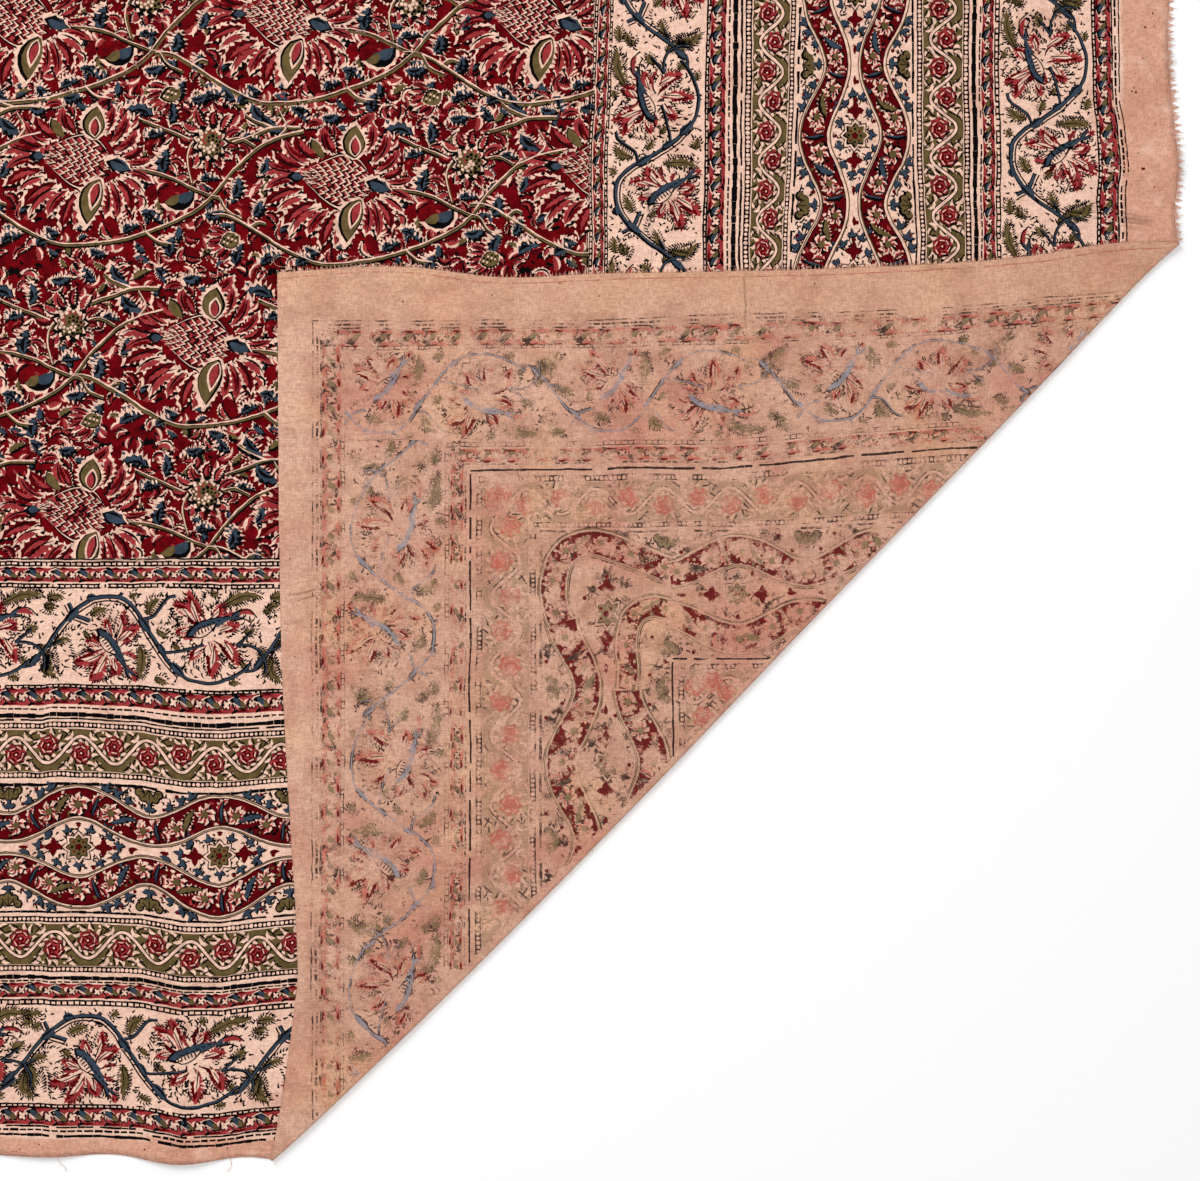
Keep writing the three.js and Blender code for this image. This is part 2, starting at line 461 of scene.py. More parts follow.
THREADS_PER_METRE = 1150.0
BUMP_DEPTH = 0.0006
Crease = namedtuple("Crease", "x y turn length width tall")
FLAP_CREASES = [
    Crease(135, 222, 92, 76, 3.2, 1.0),
    Crease(128, 140, 84, 110, 5.0, -0.6),
    Crease(-225, -12, 4, 46, 2.6, 0.9),
    Crease(-221, -20, 6, 38, 2.4, -0.7),
    Crease(-172, -312, 168, 150, 6.0, 1.1),
    Crease(-180, -326, 172, 140, 5.0, -0.9),
    Crease(-60, 176, 3, 210, 6.0, 0.5),
    Crease(300, 205, 172, 130, 4.0, 0.7),
    Crease(-30, -60, 48, 190, 7.0, 0.5),
]
FACE_CREASES = [
    Crease(-370, 9, 2, 180, 4.0, -1.2),
    Crease(-330, -38, 176, 200, 5.0, 1.1),
    Crease(-380, -350, 3, 200, 6.0, -1.1),
    Crease(60, 330, 90, 200, 5.0, -0.9),
    Crease(440, 300, 170, 90, 4.0, 2.0),
    Crease(440, 292, 172, 90, 4.0, -1.6),
    Crease(-250, 380, 20, 230, 6.0, 0.8),
]


def weave_bump(finish, strength=0.75, creases=()):
    """Plain weave with uneven yarns and slubs, small soft wrinkles and a few pressed creases."""
    warp = finish.cloud(THREADS_PER_METRE, 1.0, stretch=(1, 0.16, 1))
    weft = finish.cloud(THREADS_PER_METRE, 1.0, stretch=(0.16, 1, 1), shift=(3, 5, 0))
    slub = finish.cloud(260, 3.0, stretch=(0.2, 1, 1), shift=(7, 1, 0))
    wrinkle = finish.cloud(34, 4.0, 0.6, shift=(1, 9, 0))
    height = warp + weft + slub * 1.4 + wrinkle * 7.0
    if creases:
        x, y, _ = finish.axes()
        wave = (finish.cloud(24, 2.0, shift=(4, 7, 0)) - 0.5) * 0.014
    for crease in creases:
        dx, dy = heading(crease.turn)
        east, north = x - crease.x * MM, y - crease.y * MM
        across = north * dx - east * dy + wave
        along = east * dx + north * dy
        half = crease.length * MM / 2
        near = 1 - across.most(across * -1).smooth(0, crease.width * MM)
        height = height + near * (1 - along.most(along * -1).smooth(half * 0.5, half)) * (crease.tall * 4.0)
    sockets = {"Strength": strength, "Distance": BUMP_DEPTH, "Height": height}
    return finish.node("ShaderNodeBump", {}, sockets)


def grain(finish):
    """Uneven yarns in both directions, from threads to short slubs: 0 pale, 1 dark."""
    warp = finish.cloud(980, 2.0, 0.6, stretch=(1, 0.22, 1))
    weft = finish.cloud(980, 2.0, 0.6, stretch=(0.22, 1, 1), shift=(2, 2, 0))
    slub = finish.cloud(420, 3.0, 0.6, stretch=(0.5, 1, 1), shift=(9, 2, 0))
    return ((warp + weft) * 0.38 + slub * 0.24).smooth(0.41, 0.59)


def margin_share(finish, right, near, soft=0.004):
    """1 outside the border's outer line, 0 inside it."""
    x, y, _ = finish.axes()
    wave = (finish.cloud(9, 1.0) - 0.5) * 0.012
    return (x + wave).smooth(right, right + soft).most(1 - (y + wave).smooth(near - soft, near))


FACE_LINE = Place(446.5, -465.2)
FLAP_LINE = Place(-223.3, 211.6)
FIELD_EDGE = Place(5.0, 13.8)
FIELD_TILT = 0.033


def face_colour(finish):
    """Printed face: cream-pink ground with slubs and faint stains, and a warmer bare margin."""
    c = colours()
    margin = margin_share(finish, FACE_LINE.x * MM, FACE_LINE.y * MM)
    base = finish.mix(margin, c["ground"], c["margin"])
    base = finish.mix(grain(finish) * (margin * 0.2 + 0.42), base, tuple(v * 0.56 for v in c["margin"]))
    pale = finish.cloud(46, 3.0, 0.6, shift=(3, 7, 0)).smooth(0.5, 0.72) * margin * 0.35
    base = finish.mix(pale, base, tuple(min(1, v * 1.12) for v in c["ground"]))
    stain = finish.cloud(19, 5.0, 0.65, shift=(4, 4, 0)).smooth(0.5, 0.68) * 0.4
    return finish.mix(stain, base, c["back_warm"])


def back_colour(finish):
    """Reverse: peach cotton that the print has tinted unevenly, paler along the margins."""
    c = colours()
    x, y, _ = finish.axes()
    wave = (finish.cloud(12, 2.0) - 0.5) * 0.02
    margin = (y + wave).smooth(FLAP_LINE.y * MM, FLAP_LINE.y * MM + 0.01)
    margin = margin.most(1 - (x + wave).smooth(FLAP_LINE.x * MM - 0.01, FLAP_LINE.x * MM))
    far_margin = (y + wave).smooth(FLAP_LINE.y * MM - 0.01, FLAP_LINE.y * MM + 0.03)
    deep = (x - y * 0.9).smooth(-0.35, 0.5)
    mottle = finish.cloud(30, 5.0, 0.68).smooth(0.38, 0.64)
    tint = (1 - margin) * (mottle * 0.42 + 0.12) + far_margin * 0.24 + margin * mottle * 0.3 + deep * 0.14
    base = finish.mix(tint.clamp(), c["back"], c["back_warm"])
    pink = tuple(a * b for a, b in zip(c["back_warm"], (1.16, 0.86, 0.98)))
    base = finish.mix(finish.cloud(11, 4.0, 0.6, shift=(0, 6, 0)).smooth(0.48, 0.66) * 0.44, base, pink)
    yellow = tuple(a * b for a, b in zip(c["back"], (1.05, 1.0, 0.8)))
    gold = (finish.cloud(13, 4.0, 0.6, shift=(6, 1, 0)).smooth(0.48, 0.7) * 0.45 + far_margin * 0.2).clamp()
    base = finish.mix(gold, base, yellow)
    base = finish.mix(grain(finish) * 0.4, base, tuple(v * 0.52 for v in c["back_warm"]))
    smudge = finish.cloud(48, 6.0, 0.72, stretch=(0.5, 1, 1), shift=(1, 4, 0)).smooth(0.5, 0.68) * 0.36
    return finish.mix(smudge, base, tuple(v * 0.62 for v in c["back_warm"]))


def printed_colour(finish):
    """The printed face with the deep red of the field on it, before the other inks."""
    c = colours()
    x, y, _ = finish.axes()
    wobble = (finish.cloud(60, 2.0, shift=(2, 0, 0)) - 0.5) * 0.006
    tilted = x + wobble - (y - 0.29) * FIELD_TILT
    field = (1 - tilted.smooth(FIELD_EDGE.x * MM - 0.001, FIELD_EDGE.x * MM + 0.001)) * (y + wobble).smooth(
        FIELD_EDGE.y * MM - 0.001, FIELD_EDGE.y * MM + 0.001
    )
    depth = finish.cloud(80, 5.0, 0.7).smooth(0.32, 0.66)
    red = finish.mix(depth * 0.85, c["madder"], tuple(v * 0.28 for v in c["madder"]))
    speck = finish.cloud(1300, 2.0, 0.6).smooth(0.16, 0.24)
    return finish.mix(field * speck, face_colour(finish), red)


def ink_finish(name, ink, ground, hold, patch, strength=1.0):
    """Ink that sits on the threads: hold is how much of the cloth it covers, patch how far the block's
    uneven pressure thins it, and strength how much of the ink's colour shows where it holds."""
    finish = Finish(name)
    speckle = finish.cloud(1300, 2.0, 0.6, shift=(1, 1, 0))
    press = finish.cloud(70, 4.0, 0.65, shift=(8, 3, 0))
    cover = (speckle * 0.6 + press * patch + (hold - 0.3 - patch / 2)).smooth(0.32, 0.52) * strength
    depth = finish.cloud(170, 3.0, 0.6, shift=(6, 6, 0)).smooth(0.36, 0.64)
    colour_here = finish.mix(depth * 0.62, ink, tuple(v * 0.5 for v in ink))
    return finish.cotton(finish.mix(cover, ground(finish), colour_here), weave_bump(finish, 0.6))


def face_finish():
    finish = Finish("printed_face")
    return finish.cotton(printed_colour(finish), weave_bump(finish, creases=FACE_CREASES))


def back_finish():
    finish = Finish("reverse")
    return finish.cotton(back_colour(finish), weave_bump(finish, creases=FLAP_CREASES))


def under_finish():
    """Reverse of the lower layer, which lies on the surface: the same cotton, blotched under the field."""
    finish = Finish("reverse_below")
    c = colours()
    x, y, _ = finish.axes()
    field = (1 - x.smooth(FIELD_EDGE.x * MM - 0.004, FIELD_EDGE.x * MM + 0.004)) * y.smooth(
        FIELD_EDGE.y * MM - 0.004, FIELD_EDGE.y * MM + 0.004
    )
    blotch = finish.cloud(75, 4.0, 0.7).smooth(0.42, 0.6)
    base = finish.mix(finish.cloud(24, 4.0, 0.6).smooth(0.3, 0.7), c["back"], c["back_warm"])
    return finish.cotton(finish.mix(field * blotch * 0.75, base, c["rose"]), weave_bump(finish))


# The drawing kit: flat shapes in a block's own millimetres, gathered by ink


LONGEST_INK = 5.0
SMALLEST_INK = 2e-3
TUCKED = 34.0
Wobble = namedtuple("Wobble", "cell reach seed")
WOBBLES = [Wobble(3.1, 0.26, 11), Wobble(11, 0.35, 15), Wobble(47, 0.7, 13)]


class Impression:
    """All that is stamped on one face of the cloth, as triangles by ink, in the cloth's plane. The inks
    that the motifs name go to pieces by this table; an ink that the table leaves out isn't printed."""

    def __init__(self, cloth, flap, inks, seed):
        self.cloth, self.flap, self.inks = cloth, flap, inks
        self.parts = {ink: [] for ink in inks.values()}
        self.random = np.random.default_rng(seed)
        self.window = ((LEFT_CUT, -500), (500, FAR_CUT))
        self.to_plane = lambda points: points
        self.shifts = {}

    def block(self, to_plane, window, loose=0.5):
        """Starts a new block: the way from its own places to the plane, the part of the plane that it
        may reach, and how far each ink may land beside its place."""
        self.to_plane, self.window = to_plane, window
        self.shifts = {ink: self.random.normal(0, loose, 2) for ink in self.inks}
        self.shifts["black"] = self.shifts["cream"] = self.random.normal(0, loose * 0.3, 2)

    def add(self, ink, level, points, faces):
        if ink not in self.inks:
            return
        points = self.to_plane(np.asarray(points, float)) + self.shifts.get(ink, 0)
        parts = self.parts[self.inks[ink]]
        parts.append((np.clip(points, *self.window), faces, level + 0.25 * (len(parts) % 4)))

    def fill(self, ink, level, start, end, low, high, cell=4.5):
        """A stripe of plain ground, in small squares."""
        a = np.linspace(start, end, max(2, round((end - start) / cell) + 1))
        c = np.linspace(low, high, max(2, round((high - low) / cell) + 1))
        n = len(c)
        i = (np.arange(len(a) - 1)[:, None] * n + np.arange(n - 1)).ravel()
        faces = np.vstack([np.stack([i, i + n, i + n + 1], 1), np.stack([i, i + n + 1, i + 1], 1)])
        self.add(ink, level, np.stack(np.meshgrid(a, c, indexing="ij"), -1).reshape(-1, 2), faces)

    def strip(self, ink, level, line, half):
        """A band along a line, half its width to each side, or a row of halves for either side."""
        line = np.asarray(line, float)
        _, side = sides(line)
        left, right = half if np.ndim(half) == 2 else (half, half)
        n = len(line)
        left, right = np.broadcast_to(left, n), np.broadcast_to(right, n)
        i = np.arange(n - 1)
        faces = np.vstack([np.stack([i, n + i, n + i + 1], 1), np.stack([i, n + i + 1, i + 1], 1)])
        self.add(ink, level, np.vstack([line + side * left[:, None], line - side * right[:, None]]), faces)

    def blade(self, ink, level, base, tip, width, bend=0.0, teeth=0, cut=0.4, full=0.45, butt=0.1, steps=7):
        """A leaf or petal from its base to its tip, bent sideways, its edges cut into teeth if wanted.
        Its full width is at the share full of its length, and butt is the width left at its base."""
        base, tip = np.array(base, float), np.array(tip, float)
        t = np.linspace(0, 1, max(steps, 2 * teeth + 3))
        if teeth:
            t[1::2] -= 0.4 / len(t)
        way = tip - base
        line = base + way * t[:, None] + turned(way) * (bend * 4 * t * (1 - t))[:, None]
        warped = t ** (math.log(0.5) / math.log(full))
        half = width / 2 * (np.sin(math.pi * warped).clip(0) ** 0.85 + butt * (1 - t))
        saw = (np.arange(len(t)) % 2) * cut * self.random.uniform(0.5, 1.3, (2, len(t))) if teeth else 0
        self.strip(ink, level, line, half * (1 - saw) * np.ones((2, 1)))

    def disc(self, ink, level, centre, radius, lobes=0, depth=0.25, turn=0.0, squash=1.0):
        """A round or lobed spot."""
        sides = max(lobes * 4, 6 if radius < 1.5 else 12)
        angle = np.linspace(0, 2 * math.pi, sides, endpoint=False)
        reach = radius * (1 - depth / 2 + depth / 2 * np.cos(lobes * angle)) if lobes else radius
        rim = np.stack([reach * np.cos(angle), reach * np.sin(angle) * squash], 1)
        c, s = math.cos(turn), math.sin(turn)
        rim = rim @ np.array([[c, s], [-s, c]]) + centre
        i = np.arange(sides)
        faces = np.stack([i, (i + 1) % sides, np.full(sides, sides)], 1)
        self.add(ink, level, np.vstack([rim, [centre]]), faces)

    def stroke(self, ink, level, points, half, taper=0.0, step=2.2):
        """A line drawn through a few places, thinner towards its end if tapered."""
        line = even(points, step)
        self.strip(ink, level, line, half * (1 - taper * np.linspace(0, 1, len(line))))

    def piece(self, ink, name, material, sizes):
        """The gathered triangles of one ink, laid on the cloth."""
        counts = np.cumsum([0] + [len(points) for points, _, _ in self.parts[ink]])
        points = np.vstack([points for points, _, _ in self.parts[ink]])
        faces = np.vstack([f + n for (_, f, _), n in zip(self.parts[ink], counts)])
        lifts = np.concatenate([np.full(len(points), lift) for points, _, lift in self.parts[ink]])
        for cell, reach, seed in WOBBLES:
            points = points + reach * np.stack([noise(points, cell, seed), noise(points, cell, seed + 1)], 1)
        points, faces, lifts = split_long(points, faces, lifts, LONGEST_INK)
        area = doubled_area(points, faces)
        middle = points[faces].mean(axis=1)
        across = self.cloth.across_fold(middle)
        if self.flap:
            seen = across > -self.cloth.radius
        else:
            tucked = (middle[:, 0] > FLAP_CORNER.x + TUCKED) & (middle[:, 1] < FLAP_CORNER.y - TUCKED)
            seen = ~tucked & (across > 2)
        kept = (np.abs(area) > SMALLEST_INK) & seen
        faces, area = faces[kept], area[kept]
        faces[area < 0] = faces[area < 0][:, ::-1]
        used, faces = np.unique(faces, return_inverse=True)
        points, lifts = points[used], lifts[used]
        placed, normal = self.cloth.place(points, self.flap, (sizes.ink_lift + lifts * sizes.ink_step) / MM)
        made = new_piece(name, placed, faces.reshape(-1, 3), [material])
        made.data.normals_split_custom_set_from_vertices(normal.tolist())
        bake_map(made, (points - INK_MAP_CORNER) / MAP_SIDE)
        return made




def turned(way):
    """The direction a quarter turn to the left."""
    return np.array([-way[1], way[0]])


def axis(base, tip):
    """Both ends of a figure, the way from one to the other, and the direction to the left of it."""
    base, tip = np.array(base, float), np.array(tip, float)
    way = tip - base
    return base, tip, way, turned(way) / np.hypot(*way)


def sides(line):
    """The direction along a line and the one to its left, at each of its places."""
    ahead = np.gradient(line, axis=0)
    ahead /= np.maximum(np.hypot(*ahead.T), 1e-9)[:, None]
    return ahead, np.stack([-ahead[:, 1], ahead[:, 0]], 1)


def travelled(line):
    """How far along the line each of its places is."""
    return np.concatenate([[0], np.cumsum(np.hypot(*np.diff(line, axis=0).T))])


def heading(degrees):
    return np.array([math.cos(math.radians(degrees)), math.sin(math.radians(degrees))])


def even(points, step):
    """Places at even steps along the smooth curve through a few points."""
    points = np.array(points, float)
    line = smooth_curve(points, 8 * (len(points) - 1)) if len(points) > 2 else points
    gone = travelled(line)
    at = np.linspace(0, gone[-1], max(2, round(gone[-1] / step) + 1))
    return np.stack([np.interp(at, gone, line[:, 0]), np.interp(at, gone, line[:, 1])], 1)


def doubled_area(points, faces):
    a, b, c = (points[faces[:, k]] for k in range(3))
    return (b - a)[:, 0] * (c - a)[:, 1] - (b - a)[:, 1] * (c - a)[:, 0]


def split_long(points, faces, lifts, longest):
    """Halves triangles at their longest side until no side is longer than wanted."""
    while True:
        corners = points[faces]
        sides = np.linalg.norm(np.roll(corners, -1, axis=1) - corners, axis=2)
        worst = sides.argmax(axis=1)
        long = sides.max(axis=1) > longest
        if not long.any():
            return points, faces, lifts
        turned_faces = np.take_along_axis(faces[long], (worst[long, None] + np.arange(3)) % 3, axis=1)
        a, b, c = turned_faces.T
        new = len(points) + np.arange(len(a))
        points = np.vstack([points, (points[a] + points[b]) / 2])
        lifts = np.concatenate([lifts, (lifts[a] + lifts[b]) / 2])
        faces = np.vstack([faces[~long], np.stack([a, new, c], 1), np.stack([new, b, c], 1)])


# Motifs of the field


def leaf(p, x, y, turn, length, width):
    """A ragged slate leaf with dark veins, a black edge on one side and a spiky bare halo."""
    way = heading(turn) * length / 2
    base, tip = (x, y) - way, (x, y) + way
    bend = 0.15 * math.copysign(1, math.sin(7 * x + 3 * y))
    side = turned(way) / np.hypot(*way)
    up, aside = (0, 0.7), (1.2, -1.2)
    p.blade("cream", 4, base - way * 0.24 + up, tip + way * 0.3 + up, width * 1.6, bend, teeth=7, cut=0.75)
    p.blade("black", 5, base + aside, tip + way * 0.16 + aside, width * 1.2, bend, teeth=4, cut=0.5)
    p.blade("blue", 6, base, tip, width * 0.9, bend, teeth=4, cut=0.6)
    p.blade("black", 7, base + way * 0.2, tip - way * 0.5, width * 0.26, bend * 1.2)
    for k in (-0.3, 0.25, 0.7):
        spot = (x, y) + way * k + side * width * 0.2
        p.blade("cream" if k > 0 else "black", 7, spot + side * width * 0.5, spot, 1.7)


def petal(p, base, tip, width, bend, heart, level=4):
    """A flame petal: black shade along one side, ragged bare edge, a leaf of red and its heart."""
    base, tip, way, aside = axis(base, tip)
    shade = aside * 1.7 * (-1 if bend > 0 else 1)
    point = tip + way * 0.05
    p.blade("black", level, base + shade, point + shade, width * 1.04, bend, teeth=3, full=0.6, butt=0.4)
    p.blade("cream", level + 1, base, point, width * 0.92, bend, teeth=6, cut=0.5, full=0.58, butt=0.4)
    if heart == "cream":
        p.blade("black", level + 2, base + way * 0.1 - shade * 0.6, tip - shade, 1.7, bend * 1.2)
        inner = base + way * 0.2 + shade * 0.5
        p.blade("rose", level + 2, inner, tip - way * 0.06, width * 0.58, bend, teeth=3)
    elif heart == "olive":
        p.blade("black", level + 2, base, tip - way * 0.02, width * 0.8, bend, full=0.55, butt=0.3)
        p.blade("olive", level + 3, base, tip - way * 0.08, width * 0.66, bend, full=0.55, butt=0.3)
    else:
        other = "rose" if heart == "madder" else "madder"
        inner = base + way * 0.03 + shade * 0.2
        p.blade(heart, level + 2, inner, tip - way * 0.02, width * 0.84, bend, teeth=5, cut=0.36, full=0.58)
        start = inner + way * 0.16 + shade * 0.5
        p.blade(other, level + 3, start, tip - way * 0.16, width * 0.32, bend, teeth=3)
        p.blade("black", level + 3, inner - shade, tip - way * 0.06 - shade * 0.6, 1.5, bend)


Petal = namedtuple("Petal", "base tip width bend heart")
PALMETTE_PETALS = [
    Petal((2, 22), (-6, 40), 11, 0.08, "madder"),
    Petal((-3, 24), (-8, 45), 12, 0.14, "rose"),
    Petal((-8, 20), (-19, 36), 9, 0.06, "olive"),
    Petal((-12, 18), (-33, 38), 14, 0.12, "madder"),
    Petal((-20, 15), (-42, 34), 10, 0.14, "rose"),
    Petal((-24, 12), (-50, 25), 11, 0.12, "madder"),
    Petal((-27, 9), (-56, 16), 9, 0.10, "rose"),
    Petal((-29, 5), (-60, 5), 10, -0.14, "cream"),
    Petal((-29, 2), (-57, -7), 9, -0.12, "rose"),
    Petal((-25, -6), (-58, -20), 12, -0.10, "madder"),
    Petal((-22, -12), (-46, -26), 9, -0.12, "cream"),
    Petal((-14, -17), (-42, -37), 14, -0.10, "madder"),
    Petal((-10, -20), (-36, -46), 11, -0.14, "cream"),
    Petal((-4, -24), (-21, -46), 11, -0.12, "rose"),
    Petal((3, -24), (-10, -56), 13, -0.08, "madder"),
    Petal((8, -26), (0, -55), 10, 0.06, "rose"),
    Petal((26, -18), (26, -46), 11, 0.08, "rose"),
    Petal((30, -16), (36, -48), 10, 0.12, "rose"),
    Petal((34, -14), (48, -42), 11, 0.14, "madder"),
    Petal((38, -12), (58, -28), 10, 0.10, "cream"),
    Petal((42, -8), (66, -18), 8, 0.10, "rose"),
    Petal((14, 44), (34, 57), 12, -0.16, "rose"),
    Petal((26, 22), (33, 48), 11, -0.10, "rose"),
    Petal((31, 14), (45, 42), 11, -0.14, "rose"),
    Petal((34, 8), (54, 27), 10, -0.14, "rose"),
    Petal((38, 2), (58, 14), 9, -0.12, "madder"),
    Petal((42, -1), (66, 3), 7, -0.10, "rose"),
    Petal((-24, 44), (-8, 46), 9, 0.2, "rose"),
]

Sprig = namedtuple("Sprig", "x y turn length width")
FIELD_LEAVES = [
    Sprig(54, 41, 168, 22, 10),
    Sprig(79, 41, 88, 18, 9),
    Sprig(68, 22, 12, 14, 8),
    Sprig(76, 1, 78, 21, 12),
    Sprig(112, -14, 4, 15, 7),
    Sprig(134, -20, 74, 17, 11),
    Sprig(152, -37, 66, 15, 9),
    Sprig(117, -41, 12, 17, 9),
    Sprig(157, -2, 70, 15, 9),
    Sprig(165, 33, -36, 24, 11),
    Sprig(146, 20, -12, 14, 6),
    Sprig(64, -46, -28, 20, 8),
    Sprig(47, -55, 22, 15, 8),
    Sprig(82, -69, 78, 17, 12),
    Sprig(-24, -67, 20, 16, 9),
    Sprig(-60, 56, -48, 24, 10),
    Sprig(-28, 55, -60, 16, 9),
    Sprig(-2, 54, 10, 15, 9),
    Sprig(104, 54, 10, 16, 8),
    Sprig(128, 58, 130, 16, 9),
    Sprig(20, -74, -10, 14, 8),
    Sprig(-18, -57, -20, 12, 6),
    Sprig(-78, -60, 70, 18, 10),
    Sprig(-52, -65, 20, 19, 9),
]
FIELD_STEMS = [
    [(44, -7), (63, -8), (82, -13), (98, -21), (115, -28)],
    [
        *((-100, -28), (-84, -30), (-57, -46), (-40, -57), (-15, -68)),
        *((6, -69), (36, -65), (71, -54), (99, -41), (115, -28)),
    ],
    [(115, -28), (128, -11), (144, 5), (155, 14), (171, 21), (190, 26)],
    [(98, -18), (94, 0), (96, 12), (101, 18)],
    [(96, 18), (80, 25), (67, 30), (54, 36)],
    [(115, -28), (122, -30), (128, -40), (140, -46)],
    [(150, 14), (138, 20), (126, 18)],
    [(-70, -39), (-62, -34), (-56, -36)],
    [(60, -58), (70, -66), (82, -68)],
    [(170, 21), (176, 30), (170, 42)],
    [(-84, 32), (-66, 38), (-50, 44), (-28, 44)],
    [(-50, 44), (-66, 50), (-74, 56)],
]


PINECONE_RIMS = (("black", 49), ("cream", 45.5), ("black", 43.5), ("madder", 41.0))


def pinecone(p):
    """The scaled heart of the palmette: a leaning oval, set with small pointed scales."""
    left, right, way, side = axis((-31, 7), (33, -4.5))
    for level, (ink, width) in enumerate(PINECONE_RIMS, 9):
        p.blade(ink, level, left, right, width, 0.0, full=0.62, butt=0.0, steps=15)
    ahead = way / np.hypot(*way)
    for row, offset in enumerate(np.linspace(-0.84, 0.84, 7)):
        for t in np.arange(0.10 + 0.045 * (row % 2), 0.93, 0.09):
            bulge = 19.6 * math.sin(math.pi * t ** (math.log(0.5) / math.log(0.62))) ** 0.85
            spot = left + way * t + side * offset * bulge + p.random.uniform(-0.4, 0.4, 2)
            high = bulge * 0.13
            p.disc("rose", 13, spot - ahead * 1.4, 2.1)
            bent = [spot + side * high * 1.1, spot + ahead * 3.4, spot - side * high * 1.1]
            p.strip("black", 14, bent, p.random.uniform(0.8, 1.2))
            if p.random.random() < 0.9:
                corner = spot + ahead * p.random.uniform(1.4, 2.2)
                back, rise = spot - ahead * 2.2, side * high * 1.2
                half = np.array([0.35, p.random.uniform(0.9, 1.3), 0.35])
                p.strip("cream", 15, [back + rise, corner, back - rise], half)


def sepal(p, base, tip, width, bend):
    base, tip, way, _ = axis(base, tip)
    p.blade("cream", 16, base - way * 0.04, tip + way * 0.14, width * 1.45, bend, teeth=8, cut=0.3, butt=0.2)
    p.blade("black", 17, base, tip, width * 1.08, bend)
    p.blade("olive", 18, base + way * 0.02, tip - way * 0.04, width * 0.9, bend)
    p.blade("cream", 19, base + way * 0.05, tip - way * 0.3, width * 0.58, bend * 0.4)
    p.blade("black", 20, base + way * 0.08, tip - way * 0.38, width * 0.42, bend * 0.4)
    p.blade("rose", 21, base + way * 0.1, tip - way * 0.42, width * 0.34, bend * 0.4)


def stem(p, points, half=0.8):
    """An olive vine with a dark lower edge and a broken bare line along its upper side."""
    line = even(points, 2.4)
    p.strip("black", 5, line + (0.5, -1.6), half * 1.4)
    p.strip("olive", 6, line + (0.1, -0.6), half * 1.25)
    p.strip("black", 7, line + (0, 0.5), 0.4)
    worn = 0.62 + 0.38 * noise(line, 9, 3)
    p.strip("cream", 8, line + (0, 1.2), half * 0.95 * worn)


def dotted_rosette(p, x, y, radius):
    """An olive rosette netted with cream, in a curl of small petals."""
    centre = np.array([x, y], float)
    for k in range(12):
        out = heading(k * 30 + 12)
        reach = radius * (2.0 if 0 <= k < 6 else 1.6) * p.random.uniform(0.9, 1.1)
        base, tip = centre + out * radius * 0.8, centre + out * reach + turned(out) * 5
        petal(p, base, tip, radius * 0.62, 0.2, ("rose", "cream", "madder")[k % 3])
    p.disc("black", 9, centre, radius * 1.18, lobes=9, depth=0.2)
    p.disc("cream", 10, centre, radius * 1.05, lobes=11, depth=0.3)
    p.disc("black", 11, centre, radius * 0.9, lobes=9, depth=0.2)
    p.disc("olive", 12, centre, radius * 0.84, lobes=9, depth=0.24)
    for k in range(38):
        spot = centre + heading(k * 137.5) * radius * 0.8 * math.sqrt((k + 0.5) / 38)
        ink = ("cream", "black", "cream", "black", "rose")[k % 5]
        p.disc(ink, 13, spot, radius * p.random.uniform(0.07, 0.12))


def olive_bud(p, x, y, turn, size):
    out = heading(turn)
    side = turned(out)
    centre = np.array([x, y], float)
    for k, spread in enumerate(np.linspace(-1, 1, 7)):
        base = centre + side * spread * size * 0.35
        tip = centre + out * size * (1.5 - 0.5 * spread**2) + side * spread * size * 1.1
        petal(p, base, tip, size * 0.52, 0.12 * spread, ("rose", "cream", "madder")[k % 3])
    back, front = centre - out * size * 0.7, centre + out * size * 0.8
    p.blade("cream", 9, back, front, size * 1.2, 0.05, teeth=7, cut=0.3)
    p.blade("black", 10, back + out, front - out, size, 0.05)
    p.blade("olive", 11, back + out * 1.3, front - out * 1.5, size * 0.86, 0.05)
    for k in range(12):
        spot = centre + out * size * (0.09 * k - 0.5) + side * size * 0.16 * ((k % 3) - 1)
        p.disc("black" if k % 2 else "cream", 12, spot, 1.0)


def curl(p, x, y, turn, length):
    """A hooked cream flame with a rose heart and a dark line."""
    base = np.array([x, y], float)
    tip = base + heading(turn) * length
    bend = 0.28 * math.copysign(1, math.sin(5 * x + y))
    petal(p, base, tip, length * 0.46, bend, ("cream", "rose", "madder")[int(x + y) % 3], 0)


FIELD_FILL = [(x, y) for x in np.arange(-104, 110, 12.4) for y in np.arange(-73, 75, 11.6)]


